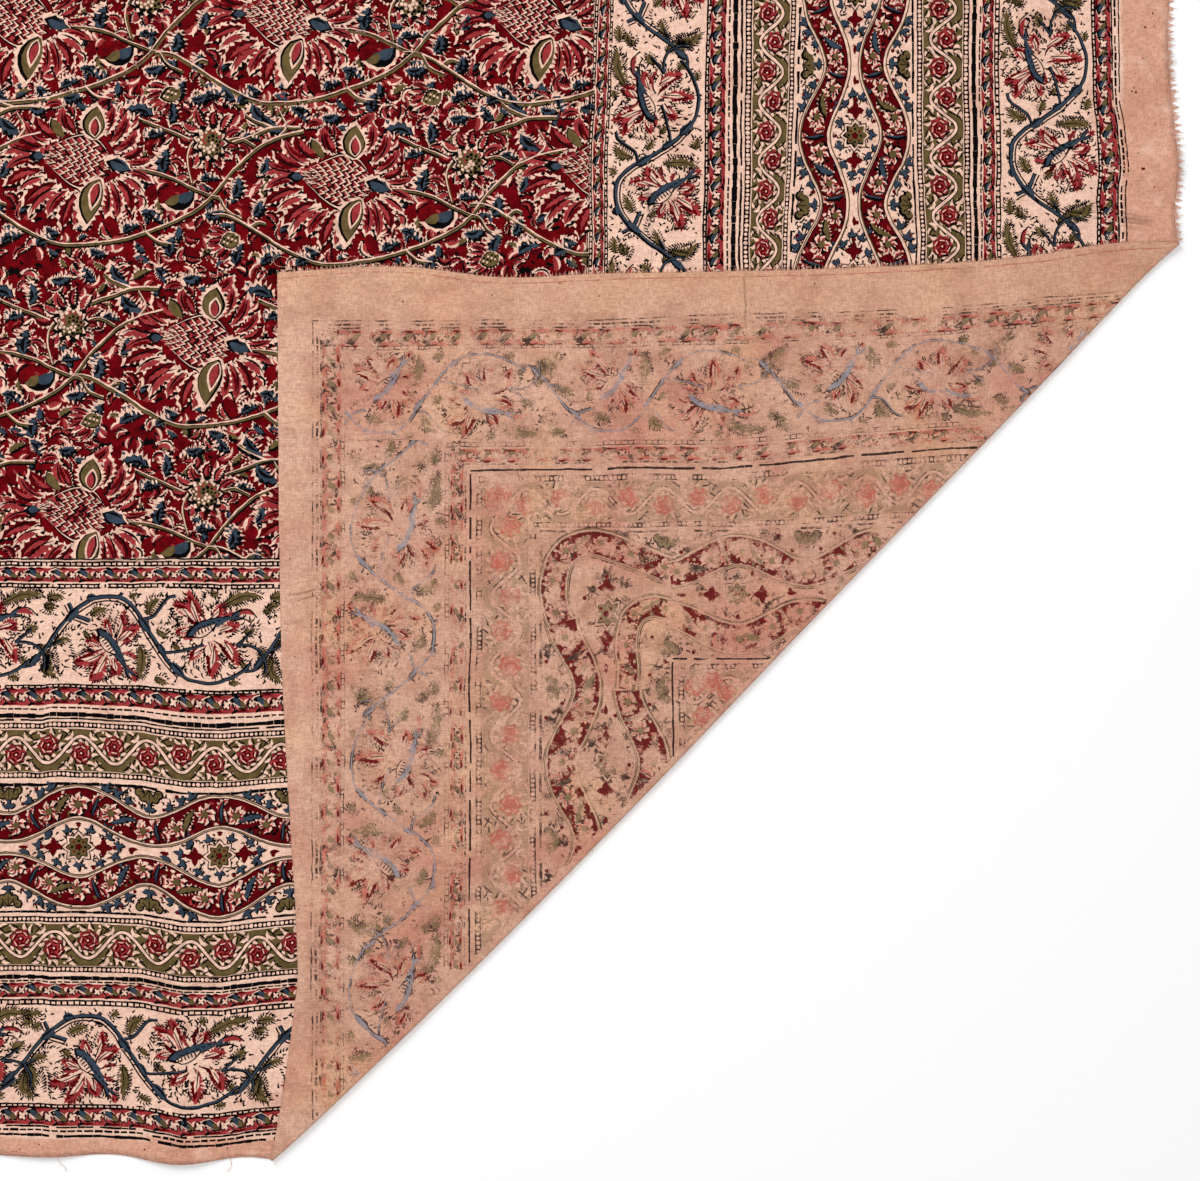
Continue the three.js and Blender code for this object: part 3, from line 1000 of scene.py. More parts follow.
def field_fill(p):
    """Small leaves, curls and flecks that crowd the red between the larger figures of one stamp."""
    cut = np.random.default_rng(24)
    for x, y in FIELD_FILL:
        x, y = (x, y) + cut.uniform(-3.6, 3.6, 2)
        turn, kind, length = cut.uniform(0, 360), cut.integers(12), cut.uniform(9, 17)
        if (x / 50) ** 2 + (y / 42) ** 2 < 1 or math.hypot(x - 113, y - 16) < 19:
            continue
        here, out = np.array([x, y]), heading(turn)
        if kind < 5:
            curl(p, x, y, turn, length)
        elif kind < 8:
            way, aside = out * length * 0.45, (1, -1)
            ink = "olive" if kind == 6 else "blue"
            p.blade("cream", 0, here - way * 1.2, here + way * 1.25, length * 0.58, 0.15, teeth=5, cut=0.8)
            p.blade("black", 1, here - way + aside, here + way * 1.1 + aside, length * 0.48, 0.15, teeth=3)
            p.blade(ink, 2, here - way, here + way, length * 0.32, 0.15, teeth=3)
        elif kind < 11:
            shade, vein = heading(turn - 8) * length, heading(turn + 14) * length * 0.8
            p.blade("black", 0, here, here + shade, length * 0.56, 0.2, teeth=4, cut=0.5)
            p.blade("rose", 1, here, here + out * length, length * 0.5, 0.2, teeth=4, cut=0.5)
            p.blade("cream", 2, here, here + vein, length * 0.14, 0.2)
        else:
            p.blade("black", 0, here, here + out * length * 0.9, length * 0.36, 0.2, teeth=2)
    for x, y in cut.uniform((-106, -75), (110, 74), (150, 2)):
        if (x / 50) ** 2 + (y / 42) ** 2 > 1:
            tip = (x, y) + heading(cut.uniform(0, 360)) * cut.uniform(3, 6)
            ink = ("cream", "black", "black", "rose", "black")[cut.integers(5)]
            p.blade(ink, 3, (x, y), tip, 2.0, 0.2)


def palmette_block(p):
    """One stamp of the field: a pinecone palmette, its vine, a rosette, a bud and scattered leaves."""
    field_fill(p)
    for points in FIELD_STEMS:
        stem(p, points)
    for sprig in FIELD_LEAVES:
        leaf(p, *sprig)
    for row in PALMETTE_PETALS:
        petal(p, row.base, row.tip, row.width * 1.12, row.bend, row.heart)
    sepal(p, (18, 19), (20, 46), 17, 0.06)
    sepal(p, (22, -15), (11, -52), 17, -0.08)
    pinecone(p)
    p.blade("black", 16, (-38, 4), (-23, 4), 9, 0, teeth=2)
    p.blade("blue", 17, (-34, 4), (-25, 4), 5.5, 0)
    p.blade("cream", 16, (25, 3), (49, -8), 15, 0, teeth=4)
    p.blade("black", 17, (27, 0), (48, -8), 12.5, 0, teeth=2, cut=0.3)
    p.blade("blue", 18, (30, -1), (46, -7), 9.5, 0)
    p.blade("black", 19, (31, 1), (43, -4), 2.0, 0.1)
    dotted_rosette(p, 113, 16, 14)
    olive_bud(p, 130, -64, 200, 13)
    p.blade("cream", 5, (102, -21), (71, -34), 15, 0.25, teeth=5)
    p.blade("black", 6, (100, -23), (74, -32), 11, 0.25)
    p.blade("blue", 7, (98, -24), (82, -28), 8.5, 0.25)
    p.blade("olive", 8, (86, -27), (75, -33), 7.5, 0.2)


# Motifs of the border. Bands run along a, and their width is c, inwards from the border's outer line.


def long_line(p, c, width, start, end, broken=0.05, step=6.0):
    """A printed line, with short gaps where the block missed. Thick ones reach the reverse as thin lines."""
    ink = "line" if width > 2.1 else "black"
    if p.flap and ink == "line":
        width, broken = 1.3, 0.12
    for a in np.arange(start, end, step):
        if p.random.random() > broken:
            b = a + step * p.random.uniform(0.94, 1.03)
            p.strip(ink, 3, [(a, c), ((a + b) / 2, c), (b, c)], width / 2 * p.random.uniform(0.8, 1.3))


def dashes(p, c, width, dash, gap, start, end):
    a = start
    while a < end:
        long = dash * p.random.uniform(0.75, 1.3)
        if p.random.random() > 0.06:
            p.strip("black", 3, [(a, c), (a + long, c)], width / 2 * p.random.uniform(0.8, 1.3))
        a += long + gap * p.random.uniform(0.7, 1.3)


def ladder(p, c, start, end, height=3.2, rung=5.0):
    """Two thin lines with rungs, so the cloth shows as a row of small bricks."""
    thin = 0.5 if p.flap else 1.0
    for side in (-0.5, 0.5):
        long_line(p, c + side * height, 1.3 * thin, start, end, 0.08)
    for a in np.arange(start, end, rung):
        a += p.random.uniform(-0.6, 0.6)
        p.strip("black", 3, [(a, c - height / 2), (a, c + height / 2)], thin * p.random.uniform(0.6, 0.95))


def beads(p, c, start, end, width=4.8, pitch=3.7):
    """A black line with a row of bare round beads."""
    p.fill("black", 3, start, end, c - width / 2, c + width / 2)
    for a in np.arange(start + pitch / 2, end, pitch):
        p.disc("cream", 4, (a, c + p.random.uniform(-0.2, 0.2)), width * 0.31 * p.random.uniform(0.85, 1.15))


def guard(p, low, high, start, end, pitch=21.0):
    """A brick-red stripe with slanted leaves and four-dot flowers between them."""
    middle, tall = (low + high) / 2, high - low
    p.fill("rose", 1, start, end, low, high)
    for a in np.arange(start + 4, end, pitch):
        a += p.random.uniform(-0.8, 0.8)
        base, tip = np.array((a - 5, middle + tall * 0.26)), np.array((a + 5, middle - tall * 0.28))
        p.blade("cream", 2, base - (2.4, 0), tip + (1.6, -0.5), tall * 0.6, 0.15, teeth=2, cut=0.3)
        p.blade("black", 3, base - (0.8, 0), tip + (1.2, 0), tall * 0.48, 0.15, teeth=2, cut=0.2)
        p.blade("blue", 4, base + (2.0, 0), tip - (2.4, 0), tall * 0.26, 0.15)
        p.blade("black", 3, (a + 2, middle + tall * 0.24), (a + 9, middle - tall * 0.18), tall * 0.42, -0.2)
        p.blade("olive", 4, (a + 3, middle + tall * 0.2), (a + 8.4, middle - tall * 0.12), tall * 0.28, -0.2)
        p.stroke("cream", 5, [(a - 3, middle + tall * 0.1), (a + 3, middle - tall * 0.16)], 0.5, taper=0.6)
        for s in (1, -1):
            p.blade("black", 2, (a - 4, middle + s * tall * 0.5), (a + 3, middle + s * tall * 0.34), 2.2, 0.1)
            base, tip = (a + 1, middle + s * tall * 0.44), (a + 9, middle + s * tall * 0.4)
            p.blade("madder", 2, base, tip, 2.0, 0.1)
        b = a + pitch * 0.6
        p.disc("black", 2, (b, middle), tall * 0.36, lobes=4, depth=0.5, turn=0.6)
        p.disc("cream", 3, (b, middle), tall * 0.28, lobes=4, depth=0.5, turn=0.6)
        for turn in (0, 90, 180, 270):
            p.disc("black", 4, (b, middle) + heading(turn) * tall * 0.2, 0.95)
        for s in (1, -1):
            for x, wide in ((-5.5, 1.8), (3.4, 1.6)):
                root = np.array((b + x, middle - s * tall * 0.08))
                p.blade("cream", 2, root, root + (2.6, s * tall * 0.38), wide, 0.25)
                p.stroke("black", 3, [root + (1.3, 0), root + (3.8, s * tall * 0.38)], 0.6)


def comb(p, points, side, length, spacing=2.1):
    """Short ticks along one side of a curve, like the hairs of a fern."""
    line = even(points, spacing)
    for here, there in zip(line[:-1], line[1:]):
        forward = (there - here) / spacing
        out = turned(forward) * side
        root = here + out * 0.4
        tip = root + (out * 0.8 + forward * 0.6) * length * p.random.uniform(0.6, 1.35)
        p.strip("black", 3, [root, tip], np.array([0.78, 0.24]) * p.random.uniform(0.75, 1.2))


def rays(p, centre, reach, count, length, first=0, last=360):
    """Short hooked ticks in an arc round a flower."""
    for turn in np.linspace(first, last, count, endpoint=False):
        turn += p.random.uniform(-4, 4)
        root = centre + heading(turn) * reach * p.random.uniform(0.88, 1.14)
        middle, tip = root + heading(turn + 12) * length * 0.5, root + heading(turn + 40) * length
        p.strip("black", 1, [root, middle, tip], np.array([0.75, 0.6, 0.2]))


def fern(p, base, tip, width, bend=0.15):
    """A toothed olive leaf with black hairs along both sides."""
    base, tip, way, aside = axis(base, tip)
    half_way = base + way * 0.5 + turned(way) * bend
    p.blade("olive", 2, base, tip, width * 1.2, bend, teeth=5, cut=0.5)
    for s in (1, -1):
        out = aside * s * width * 0.5
        comb(p, [base, half_way + out, tip], s, width * 0.42)
    p.stroke("black", 4, [base, half_way, tip - way * 0.2], 0.5, taper=0.5)


def vine_line(p, points, half):
    """A slate vine between two black lines, and a third line beside it."""
    line = even(points, 2.4)
    half = half * (0.5 if p.flap else 0.7)
    p.strip("black", 3, line, half + 0.8)
    p.strip("vine", 4, line, half)
    if half > 0.9:
        p.strip("black", 3, line - sides(line)[1] * (half + 2.6), 0.6)


def flower_petal(p, base, tip, width, bend):
    """A ragged petal, rose on one side and deep red on the other, with a bare slit and black hooks."""
    base, tip, way, aside = axis(base, tip)
    half_way = base + way * 0.5 + turned(way) * bend
    out = aside * width * 0.55
    p.blade("rose", 2, base - way * 0.06, tip + way * 0.1, width * 1.45, bend, teeth=8, cut=0.66, full=0.62)
    p.blade("madder", 3, base + way * 0.3 - out * 0.6, tip - way * 0.02, width * 0.55, bend, teeth=4, cut=0.5)
    p.blade("cream", 4, base - way * 0.04, base + way * 0.74, width * 0.46, bend, full=0.6, teeth=2, cut=0.2)
    for s in (1, -1):
        rim = [base + way * 0.3 + out * s, half_way + out * s * 1.3, tip + out * s * 0.3]
        comb(p, rim, s, width * 0.4, 2.4)
    p.stroke("black", 5, [base + out * 0.2, base + way * 0.6 + turned(way) * bend], 0.55, taper=0.4)


def small_petals(p, centre, reach, first):
    """Narrow petals that fill the gaps between a flower's larger ones."""
    for k in range(9):
        turn = first + 40 * k + p.random.uniform(-8, 8)
        base = centre + heading(turn) * reach * 0.3
        tip = centre + heading(turn + 8) * reach * p.random.uniform(0.75, 1.05)
        p.blade(("rose", "madder")[k % 2], 1, base, tip, 4.4, 0.15, teeth=4, cut=0.5, full=0.65)
        p.stroke("black", 2, [base, (base + tip) / 2 + turned(tip - base) * 0.1, tip], 0.4, taper=0.5)


def bird(p, head, tail, width):
    """A small bird in profile: slate body, scaled bare wing and forked tail; bird_vine adds one rose feather
    beside the second bird.
    """
    head, tail, way, out = axis(head, tail)
    p.blade("black", 6, head - way * 0.08, tail, width * 1.3, 0.04, teeth=6, cut=0.16, full=0.36)
    p.blade("vine", 7, head - way * 0.04, tail - way * 0.03, width, 0.04, full=0.36)
    wing = out * width * 0.2
    p.blade("black", 8, head + way * 0.06 - wing, head + way * 0.62, width * 0.86, -0.06, full=0.4)
    p.blade("cream", 9, head + way * 0.09 - wing, head + way * 0.58, width * 0.68, -0.06, full=0.4)
    for k in range(6):
        for s in (-1, 0, 1):
            spot = head + way * (0.13 + 0.07 * k) - out * width * (0.14 + 0.13 * s)
            p.disc("black", 10, spot, 0.72)
        spot = head + way * (0.2 + 0.11 * k) + out * width * 0.28
        p.stroke("black", 8, [spot, spot + way * 0.07 - out * 0.8], 0.42)
    for s, long in ((1, 0.22), (-1, 0.16)):
        p.blade("black", 6, tail - way * 0.1, tail + way * long + out * s * width * 0.45, width * 0.4)
        p.blade("vine", 8, tail - way * 0.1, tail + way * long * 0.8 + out * s * width * 0.36, width * 0.22)


Vine = namedtuple("Vine", "half points")
Knot = namedtuple("Knot", "base tip width")
Blade = namedtuple("Blade", "base tip width bend")
Hairs = namedtuple("Hairs", "points side length")
VINES = [
    Vine(1.3, [(1, 24), (8, 34), (15, 44), (22, 53), (28, 60)]),
    Vine(1.5, [(28, 60), (37, 66), (44, 70), (52, 72), (63, 72), (72, 69), (82, 59), (88, 48)]),
    Vine(1.5, [(88, 48), (95, 38), (102, 27), (110, 18), (118, 10.6)]),
    Vine(1.0, [(118, 10.6), (126, 6.4), (142, 4.8), (158, 9), (168, 14), (175, 20)]),
    Vine(1.3, [(24, 67), (27, 61)]),
    Vine(1.4, [(27, 58), (34, 55), (42, 52)]),
    Vine(0.9, [(66, 72), (69, 75)]),
    Vine(0.8, [(86, 54), (94, 56), (99, 62), (106, 71), (113, 73)]),
    Vine(0.7, [(102, 28), (107, 28), (117, 30), (128, 33), (136, 36)]),
    Vine(0.7, [(163, 35), (172, 35), (182, 31), (187, 22), (187, 13)]),
    Vine(0.6, [(163, 35), (170, 40), (177, 46)]),
    Vine(0.6, [(1, 24), (-3, 18), (-8, 15), (-16, 14)]),
    Vine(0.6, [(5, 30), (12, 33), (18, 36)]),
]
KNOTS = [
    Knot((22, 52), (33, 63), 6),
    Knot((39, 71), (48, 72), 6),
    Knot((83, 56), (92, 42), 6.5),
    Knot((109, 20), (121, 8), 7),
    Knot((98, 35), (105, 24), 5),
    Knot((-8, 16), (0, 26), 4.5),
]
VINE_FERNS = [
    Blade((7, 72), (21, 73), 7, 0.06),
    Blade((5, 64), (15, 66), 6, 0.1),
    Blade((43, 57), (58, 63), 7, 0.1),
    Blade((11, 32), (27, 38), 6.5, 0.12),
    Blade((9, 25), (17, 4), 9, -0.25),
    Blade((85, 33), (84, 4), 7.5, 0.06),
    Blade((91, 58), (102, 72), 8, 0.2),
    Blade((76, 72), (82, 76), 5, 0.0),
    Blade((98, 47), (107, 42), 5, -0.1),
    Blade((112, 35), (118, 32), 5, 0.0),
    Blade((98, 8), (108, 5), 6, -0.1),
    Blade((152, 66), (187, 74), 8, 0.10),
    Blade((144, 75), (150, 77), 6, 0.0),
    Blade((172, 44), (181, 49), 7, 0.0),
    Blade((188, 62), (195, 64), 6, 0.0),
    Blade((183, 33), (187, 9), 8, 0.16),
    Blade((168, 22), (175, 15), 6, 0.0),
    Blade((158, 6), (166, 6), 5, 0.0),
    Blade((38, 44), (44, 38), 5, 0.0),
]
VINE_PETALS = [
    Blade((65, 38), (69, 60), 7, -0.08),
    Blade((67, 35), (82, 46), 9, 0.12),
    Blade((60, 40), (55, 53), 6, 0.1),
    Blade((53, 26), (28, 18), 9, 0.10),
    Blade((55, 22), (41, 3), 10, 0.10),
    Blade((50, 31), (38, 36), 6, 0.0),
    Blade((62, 20), (66, 7), 8, 0.0),
    Blade((72, 14), (79, 2), 6, 0.1),
    Blade((133, 53), (124, 76), 9, 0.08),
    Blade((128, 54), (110, 66), 9, -0.12),
    Blade((126, 48), (112, 44), 6, 0.0),
    Blade((141, 55), (152, 68), 8, -0.08),
    Blade((150, 46), (165, 50), 8, 0.1),
    Blade((153, 38), (163, 19), 9, 0.10),
    Blade((144, 35), (142, 10), 9, 0.05),
    Blade((137, 34), (125, 22), 8, -0.1),
]
HAIRS = [
    Hairs([(24, 30), (27, 22), (27, 10)], 1, 4.5),
    Hairs([(94, 30), (93, 18), (92, 8)], -1, 4.0),
    Hairs([(108, 62), (106, 54), (104, 50)], 1, 4.5),
    Hairs([(196, 30), (200, 20), (200, 8)], -1, 4.5),
    Hairs([(20, 42), (30, 46), (36, 44)], 1, 3.5),
    Hairs([(106, 44), (110, 38), (116, 36)], -1, 3.0),
    Hairs([(0, 60), (8, 56), (14, 58)], 1, 3.0),
    Hairs([(58, 50), (64, 64), (74, 62)], 1, 2.6),
]
VINE_REPEAT = 184.0


def bird_vine(p):
    """One stamp of the bird-and-vine band, from its low edge at c = 0."""
    for x, y in p.random.uniform((-8, 2), (VINE_REPEAT + 2, 77), (230, 2)):
        turn = p.random.uniform(-20, 160)
        tip = (x, y) + heading(turn) * p.random.uniform(2.0, 4.8)
        p.strip("black", 1, [(x, y), tip], np.array([0.95, 0.3]))
    for centre, reach in (((60, 27), 15), ((60, 27), 22), ((142, 45), 17), ((142, 45), 25), ((142, 45), 31)):
        rays(p, np.array(centre, float), reach, round(reach * 1.7), 4.8)
    for row in VINE_FERNS:
        fern(p, *row)
    for vine in VINES:
        vine_line(p, vine.points, vine.half)
    for base, tip, width in KNOTS:
        wide = width * (0.6 if p.flap else 0.9)
        p.blade("black", 5, base, tip, wide + 2.2, teeth=3, cut=0.3)
        p.blade("vine", 6, base, tip, wide)
        p.blade("black", 7, base, tip, wide * 0.25, 0.1)
    small_petals(p, np.array([60.0, 28.0]), 24, 10)
    small_petals(p, np.array([141.0, 46.0]), 26, 25)
    for row in VINE_PETALS:
        flower_petal(p, *row)
    for points, side, length in HAIRS:
        comb(p, points, side, length, 2.6)
    bird(p, (50, 43), (74, 11), 8)
    bird(p, (124, 43), (162, 58), 8)
    p.blade("rose", 8, (163, 60), (179, 58), 4.0, 0.16)
    p.stroke("black", 9, [(164, 62), (174, 63), (181, 57)], 0.55)
    p.stroke("black", 9, [(162, 55), (170, 56), (176, 53)], 0.55)


def rose_rosette(p, a, c, radius):
    """A ragged rose: petals that curl round one another, with a dark heart."""
    turn = p.random.uniform(0, 360)
    shade = "rose" if p.flap else "madder"
    if not p.flap:
        p.disc("black", 5, (a, c), radius * 1.06, lobes=7, depth=0.22, turn=math.radians(turn) + 0.1)
    p.disc("rose", 6, (a, c), radius, lobes=7, depth=0.26, turn=math.radians(turn) + 0.2)
    for k in range(6):
        out = heading(60 * k + turn + p.random.uniform(-10, 10))
        spot = (a, c) + out * radius * p.random.uniform(0.6, 0.72)
        across = turned(out) * radius * 0.34
        p.blade(shade, 7, spot - across - out * radius * 0.12, spot + across, radius * 0.22, 0.2)
        if not p.flap:
            p.stroke("black", 8, [spot - across, spot + out * radius * 0.24, spot + across], 0.36, step=3)
        hook = [spot - across * 0.7 - out * radius * 0.1, spot - out * radius * 0.02, spot + across * 0.6]
        p.stroke("cream", 9, hook, 0.4, step=3)
    if not p.flap:
        p.disc("black", 9, (a, c), radius * 0.34, lobes=5, depth=0.5, turn=turn)
        p.disc("madder", 10, (a, c), radius * 0.26)
        p.disc("cream", 11, (a, c) + heading(turn) * 0.4, radius * 0.1)


def meander(p, low, high, start, end, phase, turn):
    """An olive stripe with a bare winding stem, a rose in each of its turns and bare tendrils."""
    middle, tall = (low + high) / 2, high - low
    p.fill("wash" if p.flap else "olive", 1, start, end, low, high)
    reach = tall * 0.32
    t = np.arange(start, end, 2.4)
    line = np.stack([t, middle + reach * np.cos(math.pi * (t - phase) / turn)], 1)
    p.strip("black", 3, line, 2.0)
    p.strip("cream", 4, line, 1.15)
    for k in range(math.ceil((start - phase) / turn), math.floor((end - phase) / turn) + 1):
        a, up = phase + k * turn + p.random.uniform(-0.6, 0.6), 1 if k % 2 == 0 else -1
        c = middle - up * tall * 0.10
        for angle in range(0, 360, 36):
            out = heading(angle + 10 * up + p.random.uniform(-9, 9))
            root = (a, c) + out * tall * 0.27
            tip = root + out * tall * 0.12 + turned(out) * tall * 0.14
            p.blade("cream", 2, root, tip, tall * 0.075, 0.3)
            p.strip("black", 3, [root + out * 1.2, tip + out * 0.8], np.array([0.8, 0.4]))
        rose_rosette(p, a, c, tall * 0.27)
        for s in (1, -1):
            root = np.array((a + s * turn * 0.54, middle + up * tall * 0.26))
            tip = np.array((a + s * turn * 0.28, middle + up * tall * 0.47))
            p.blade("cream", 5, root, tip, 3.4, 0.35 * s, teeth=3)
            p.stroke("black", 6, [root, (root + tip) / 2 + (0, 0.9 * up), tip], 0.6)
            root = np.array((a + s * turn * 0.62, middle - up * tall * 0.34))
            tip = np.array((a + s * turn * 0.36, middle - up * tall * 0.46))
            p.blade("cream", 2, root, tip, 2.4, -0.3 * s, teeth=2)
            p.stroke("black", 5, [root, tip], 0.5)
            p.disc("cream", 2, (a + s * 9, middle - up * tall * 0.44), 1.2)


def trefoil(p, place, turn, size):
    """A three-pointed slate leaf on a short black stalk."""
    place = np.asarray(place, float)
    for spread, long in ((0, 1.5), (68, 1.15), (-68, 1.15)):
        tip = place + heading(turn + spread) * size * long
        p.blade("black", 3, place, tip + (0.9, -0.8), size * 0.66, full=0.36, butt=0.5, steps=5)
        p.blade("blue", 4, place, tip, size * 0.42, full=0.36, butt=0.5, steps=5)
    p.strip("black", 3, [place, place - heading(turn) * size * 1.1], np.array([0.7, 0.35]))


def cross_flower(p, place, size):
    for turn in (0, 90, 180, 270):
        p.blade("black", 3, place, place + heading(turn) * size * 1.2, size * 0.56, full=0.4, butt=0.5)
        p.blade("madder", 4, place, place + heading(turn) * size * 1.1, size * 0.62, full=0.4, butt=0.5)


def olive_rosette(p, place, radius):
    for level, ink, r in ((3, "black", 1.5), (4, "cream", 1.36), (5, "black", 1.12), (6, "olive", 1.0)):
        p.disc(ink, level, place, radius * r, lobes=8, depth=0.3)
    p.disc("black", 7, place, radius * 0.34, lobes=5, depth=0.4)
    p.disc("madder", 8, place, radius * 0.24)
    for k in range(8):
        p.disc("madder" if k % 2 else "black", 7, place + heading(45 * k) * radius * 0.56, radius * 0.12)


def half_rosette(p, place, radius, inward):
    """Half a rosette of olive beads round a centre on the panel's edge; inward is its open side."""
    for k in range(5):
        spot = place + heading(inward - 72 + 36 * k) * radius
        p.disc("black", 3, spot, radius * 0.5)
        p.disc("olive", 4, spot, radius * 0.34)
        p.stroke("black", 5, [spot, place], 0.4)
    p.disc("olive", 4, place + heading(inward) * radius * 0.4, radius * 0.4)


GapLeaf = namedtuple("GapLeaf", "x depth turn")
GAP_LEAVES = [
    GapLeaf(-36, 0.02, 60),
    GapLeaf(-28, 0.05, 20),
    GapLeaf(-19, 0.1, -20),
    GapLeaf(19, 0.11, 200),
    GapLeaf(28, 0.05, 160),
]


class Ribbons:
    """The panel of two waving ribbons round its middle line. The ribbons swell apart once in each
    period, at the phase, and between them lie an olive rosette and two red crosses."""

    def __init__(self, low, high, period, phase):
        self.middle, self.tall = (low + high) / 2, high - low
        self.period, self.phase = period, phase

    def edges(self, a):
        """Distances from the middle line to a ribbon's inner and outer edge."""
        wave = 0.5 + 0.5 * np.cos(2 * math.pi * (np.asarray(a) - self.phase) / self.period)
        return self.tall * (0.05 + 0.185 * wave), self.tall * (0.27 + 0.215 * wave)

    def draw(self, p, high_span, low_span, fills):
        """Both ribbons, each over its own span, and what lies between and beside them over fills."""
        for s, (start, end) in ((1, high_span), (-1, low_span)):
            t = np.arange(start, end, 3.0)
            inner, outer = self.edges(t)
            line = np.stack([t, self.middle + s * (inner + outer) / 2], 1)
            ribbon(p, line, (outer - inner) / 2)
        for k in range(-12, 13):
            a = self.phase + k * self.period / 2
            if fills[0] < a < fills[1]:
                (self.gap if k % 2 else self.oval)(p, a)

    def ticks(self, p, spots):
        for spot in spots:
            turn = p.random.uniform(0, 360)
            middle, tip = spot + heading(turn) * 1.6, spot + heading(turn + 30) * p.random.uniform(2.6, 4.2)
            p.strip("black", 2, [spot, middle, tip], np.array([0.9, 0.7, 0.3]))

    def oval(self, p, a):
        """Olive rosette, red crosses and trefoils in the widest place between the ribbons."""
        tall, here = self.tall, np.array([a, self.middle])
        olive_rosette(p, here, tall * 0.095)
        for s in (1, -1):
            cross_flower(p, here + (s * tall * 0.2, 0), tall * 0.066)
            p.disc("madder", 4, here + (s * tall * 0.29, 0), 1.7)
            p.blade("madder", 4, here + (s * tall * 0.40, 0), here + (s * tall * 0.48, 0), 3.0)
        for k in range(22):
            turn = 360 / 22 * k + 8
            reach = np.array([0.43, 0.175]) if k % 2 else np.array([0.31, 0.13])
            spot = here + heading(turn) * reach * tall
            if k % 4 == 1:
                p.disc("madder", 4, spot, 1.7)
                p.stroke("black", 3, [spot + (-2.4, 1.2), spot + (0, 2.6), spot + (2.4, 1.2)], 0.5)
            else:
                trefoil(p, spot, turn + 60 * (k % 2), tall * 0.045)
        span = 0.36, 0.17
        spots = [here + heading(k * 77) * span * tall * math.sqrt(p.random.random()) for k in range(92)]
        self.ticks(p, spots)

    def gap(self, p, a):
        """Half rosette and trefoils between a ribbon and the panel's own line, where the ribbons draw in."""
        tall = self.tall
        for s in (1, -1):
            here = np.array([a, self.middle + s * tall * 0.485])
            half_rosette(p, here, tall * 0.08, -90 * s)
            for x, c, turn in GAP_LEAVES:
                trefoil(p, here + (x, -s * tall * c), turn * s, tall * 0.05)
            trefoil(p, here + (0, -s * tall * 0.165), 90 * s, tall * 0.052)
            trefoil(p, here + (36, -s * tall * 0.02), 120 * s, tall * 0.05)
            for x, c in ((-12, 0.14), (12, 0.14), (-24, 0.02), (23, 0.02)):
                p.disc("madder", 4, here + (x, -s * tall * c), 1.6)
            across = p.random.uniform(-40, 40, 64)
            depth = p.random.uniform(0, 0.17, 64) * (1 - np.abs(across) / 46)
            self.ticks(p, [here + (x, -s * tall * c) for x, c in zip(across, depth)])


def ribbon(p, line, half):
    """A dark red ribbon along a line, between bare edges, with ragged flowers, leaves and bars."""
    p.strip("madder", 1, line, half)
    ahead, side = sides(line)
    for s in (1, -1):
        rim = line + side * s * half[:, None]
        p.strip("black", 9, rim, 1.9)
        p.strip("cream", 10, rim, 1.1)
        p.strip("olive", 11, rim + side * s * 0.4, 0.5)
    gone = travelled(line)
    for k, at in enumerate(np.arange(6, gone[-1] - 4, 14.0)):
        i = int(np.searchsorted(gone, at))
        here, onward, out, wide = line[i], ahead[i], side[i], 2 * half[i]
        for _ in range(9):
            spot = here + onward * p.random.uniform(-8, 8) + out * wide * p.random.uniform(-0.42, 0.42)
            tip = spot + heading(p.random.uniform(0, 360)) * p.random.uniform(2, 5)
            ink = ("cream", "black", "olive", "black", "rose")[p.random.integers(5)]
            p.blade(ink, 2, spot, tip, 2.4, 0.2)
        if k % 4 in (0, 2):
            here = here + out * wide * p.random.uniform(-0.08, 0.08)
            for turn in np.arange(0, 360, 51.4) + p.random.uniform(0, 50):
                long = wide * p.random.uniform(0.3, 0.42)
                tip = here + heading(turn + p.random.uniform(-10, 10)) * long
                base, point = here + (0.7, -0.7), tip + (0.9, -0.9)
                p.blade("black", 3, base, point, wide * 0.24, 0.15, full=0.6, steps=5)
                p.blade("cream", 4, here, tip, wide * p.random.uniform(0.14, 0.22), 0.15, teeth=2, full=0.6)
                p.blade("rose", 5, here, here + (tip - here) * 0.8, wide * 0.08, 0.1, full=0.6, steps=4)
            p.disc("black", 6, here, wide * 0.17, lobes=5, depth=0.4, turn=k)
            p.disc("olive", 7, here, wide * 0.12)
        elif k % 4 == 1:
            base, tip = here - onward * 9 - out * wide * 0.26, here + onward * 9 + out * wide * 0.26
            p.blade("cream", 3, base, tip, wide * 0.42, 0.1, teeth=6, cut=0.75)
            p.blade("black", 4, base, tip, wide * 0.32, 0.1, teeth=4, cut=0.3)
            p.blade("blue" if k % 8 == 1 else "olive", 5, base, tip, wide * 0.2, 0.1, teeth=3)
        else:
            for turn in (-1, 1):
                base, tip = here - onward * 3 * turn, here + onward * 5 + out * wide * 0.44 * turn
                p.blade("cream", 3, base, tip, wide * 0.3, 0.2, teeth=4, cut=0.6)
                p.blade("rose", 4, base, tip, wide * 0.15, 0.2, teeth=2)
                p.stroke("black", 5, [base, (base + tip) / 2 + onward, tip], 0.6)
            p.blade("black", 6, here - out * wide * 0.42, here + out * wide * 0.42, 4.0, 0.05)
            p.blade("blue", 7, here - out * wide * 0.34, here + out * wide * 0.34, 1.6, 0.05)


# Depths of the border's bands, in millimetres inwards from its outer line

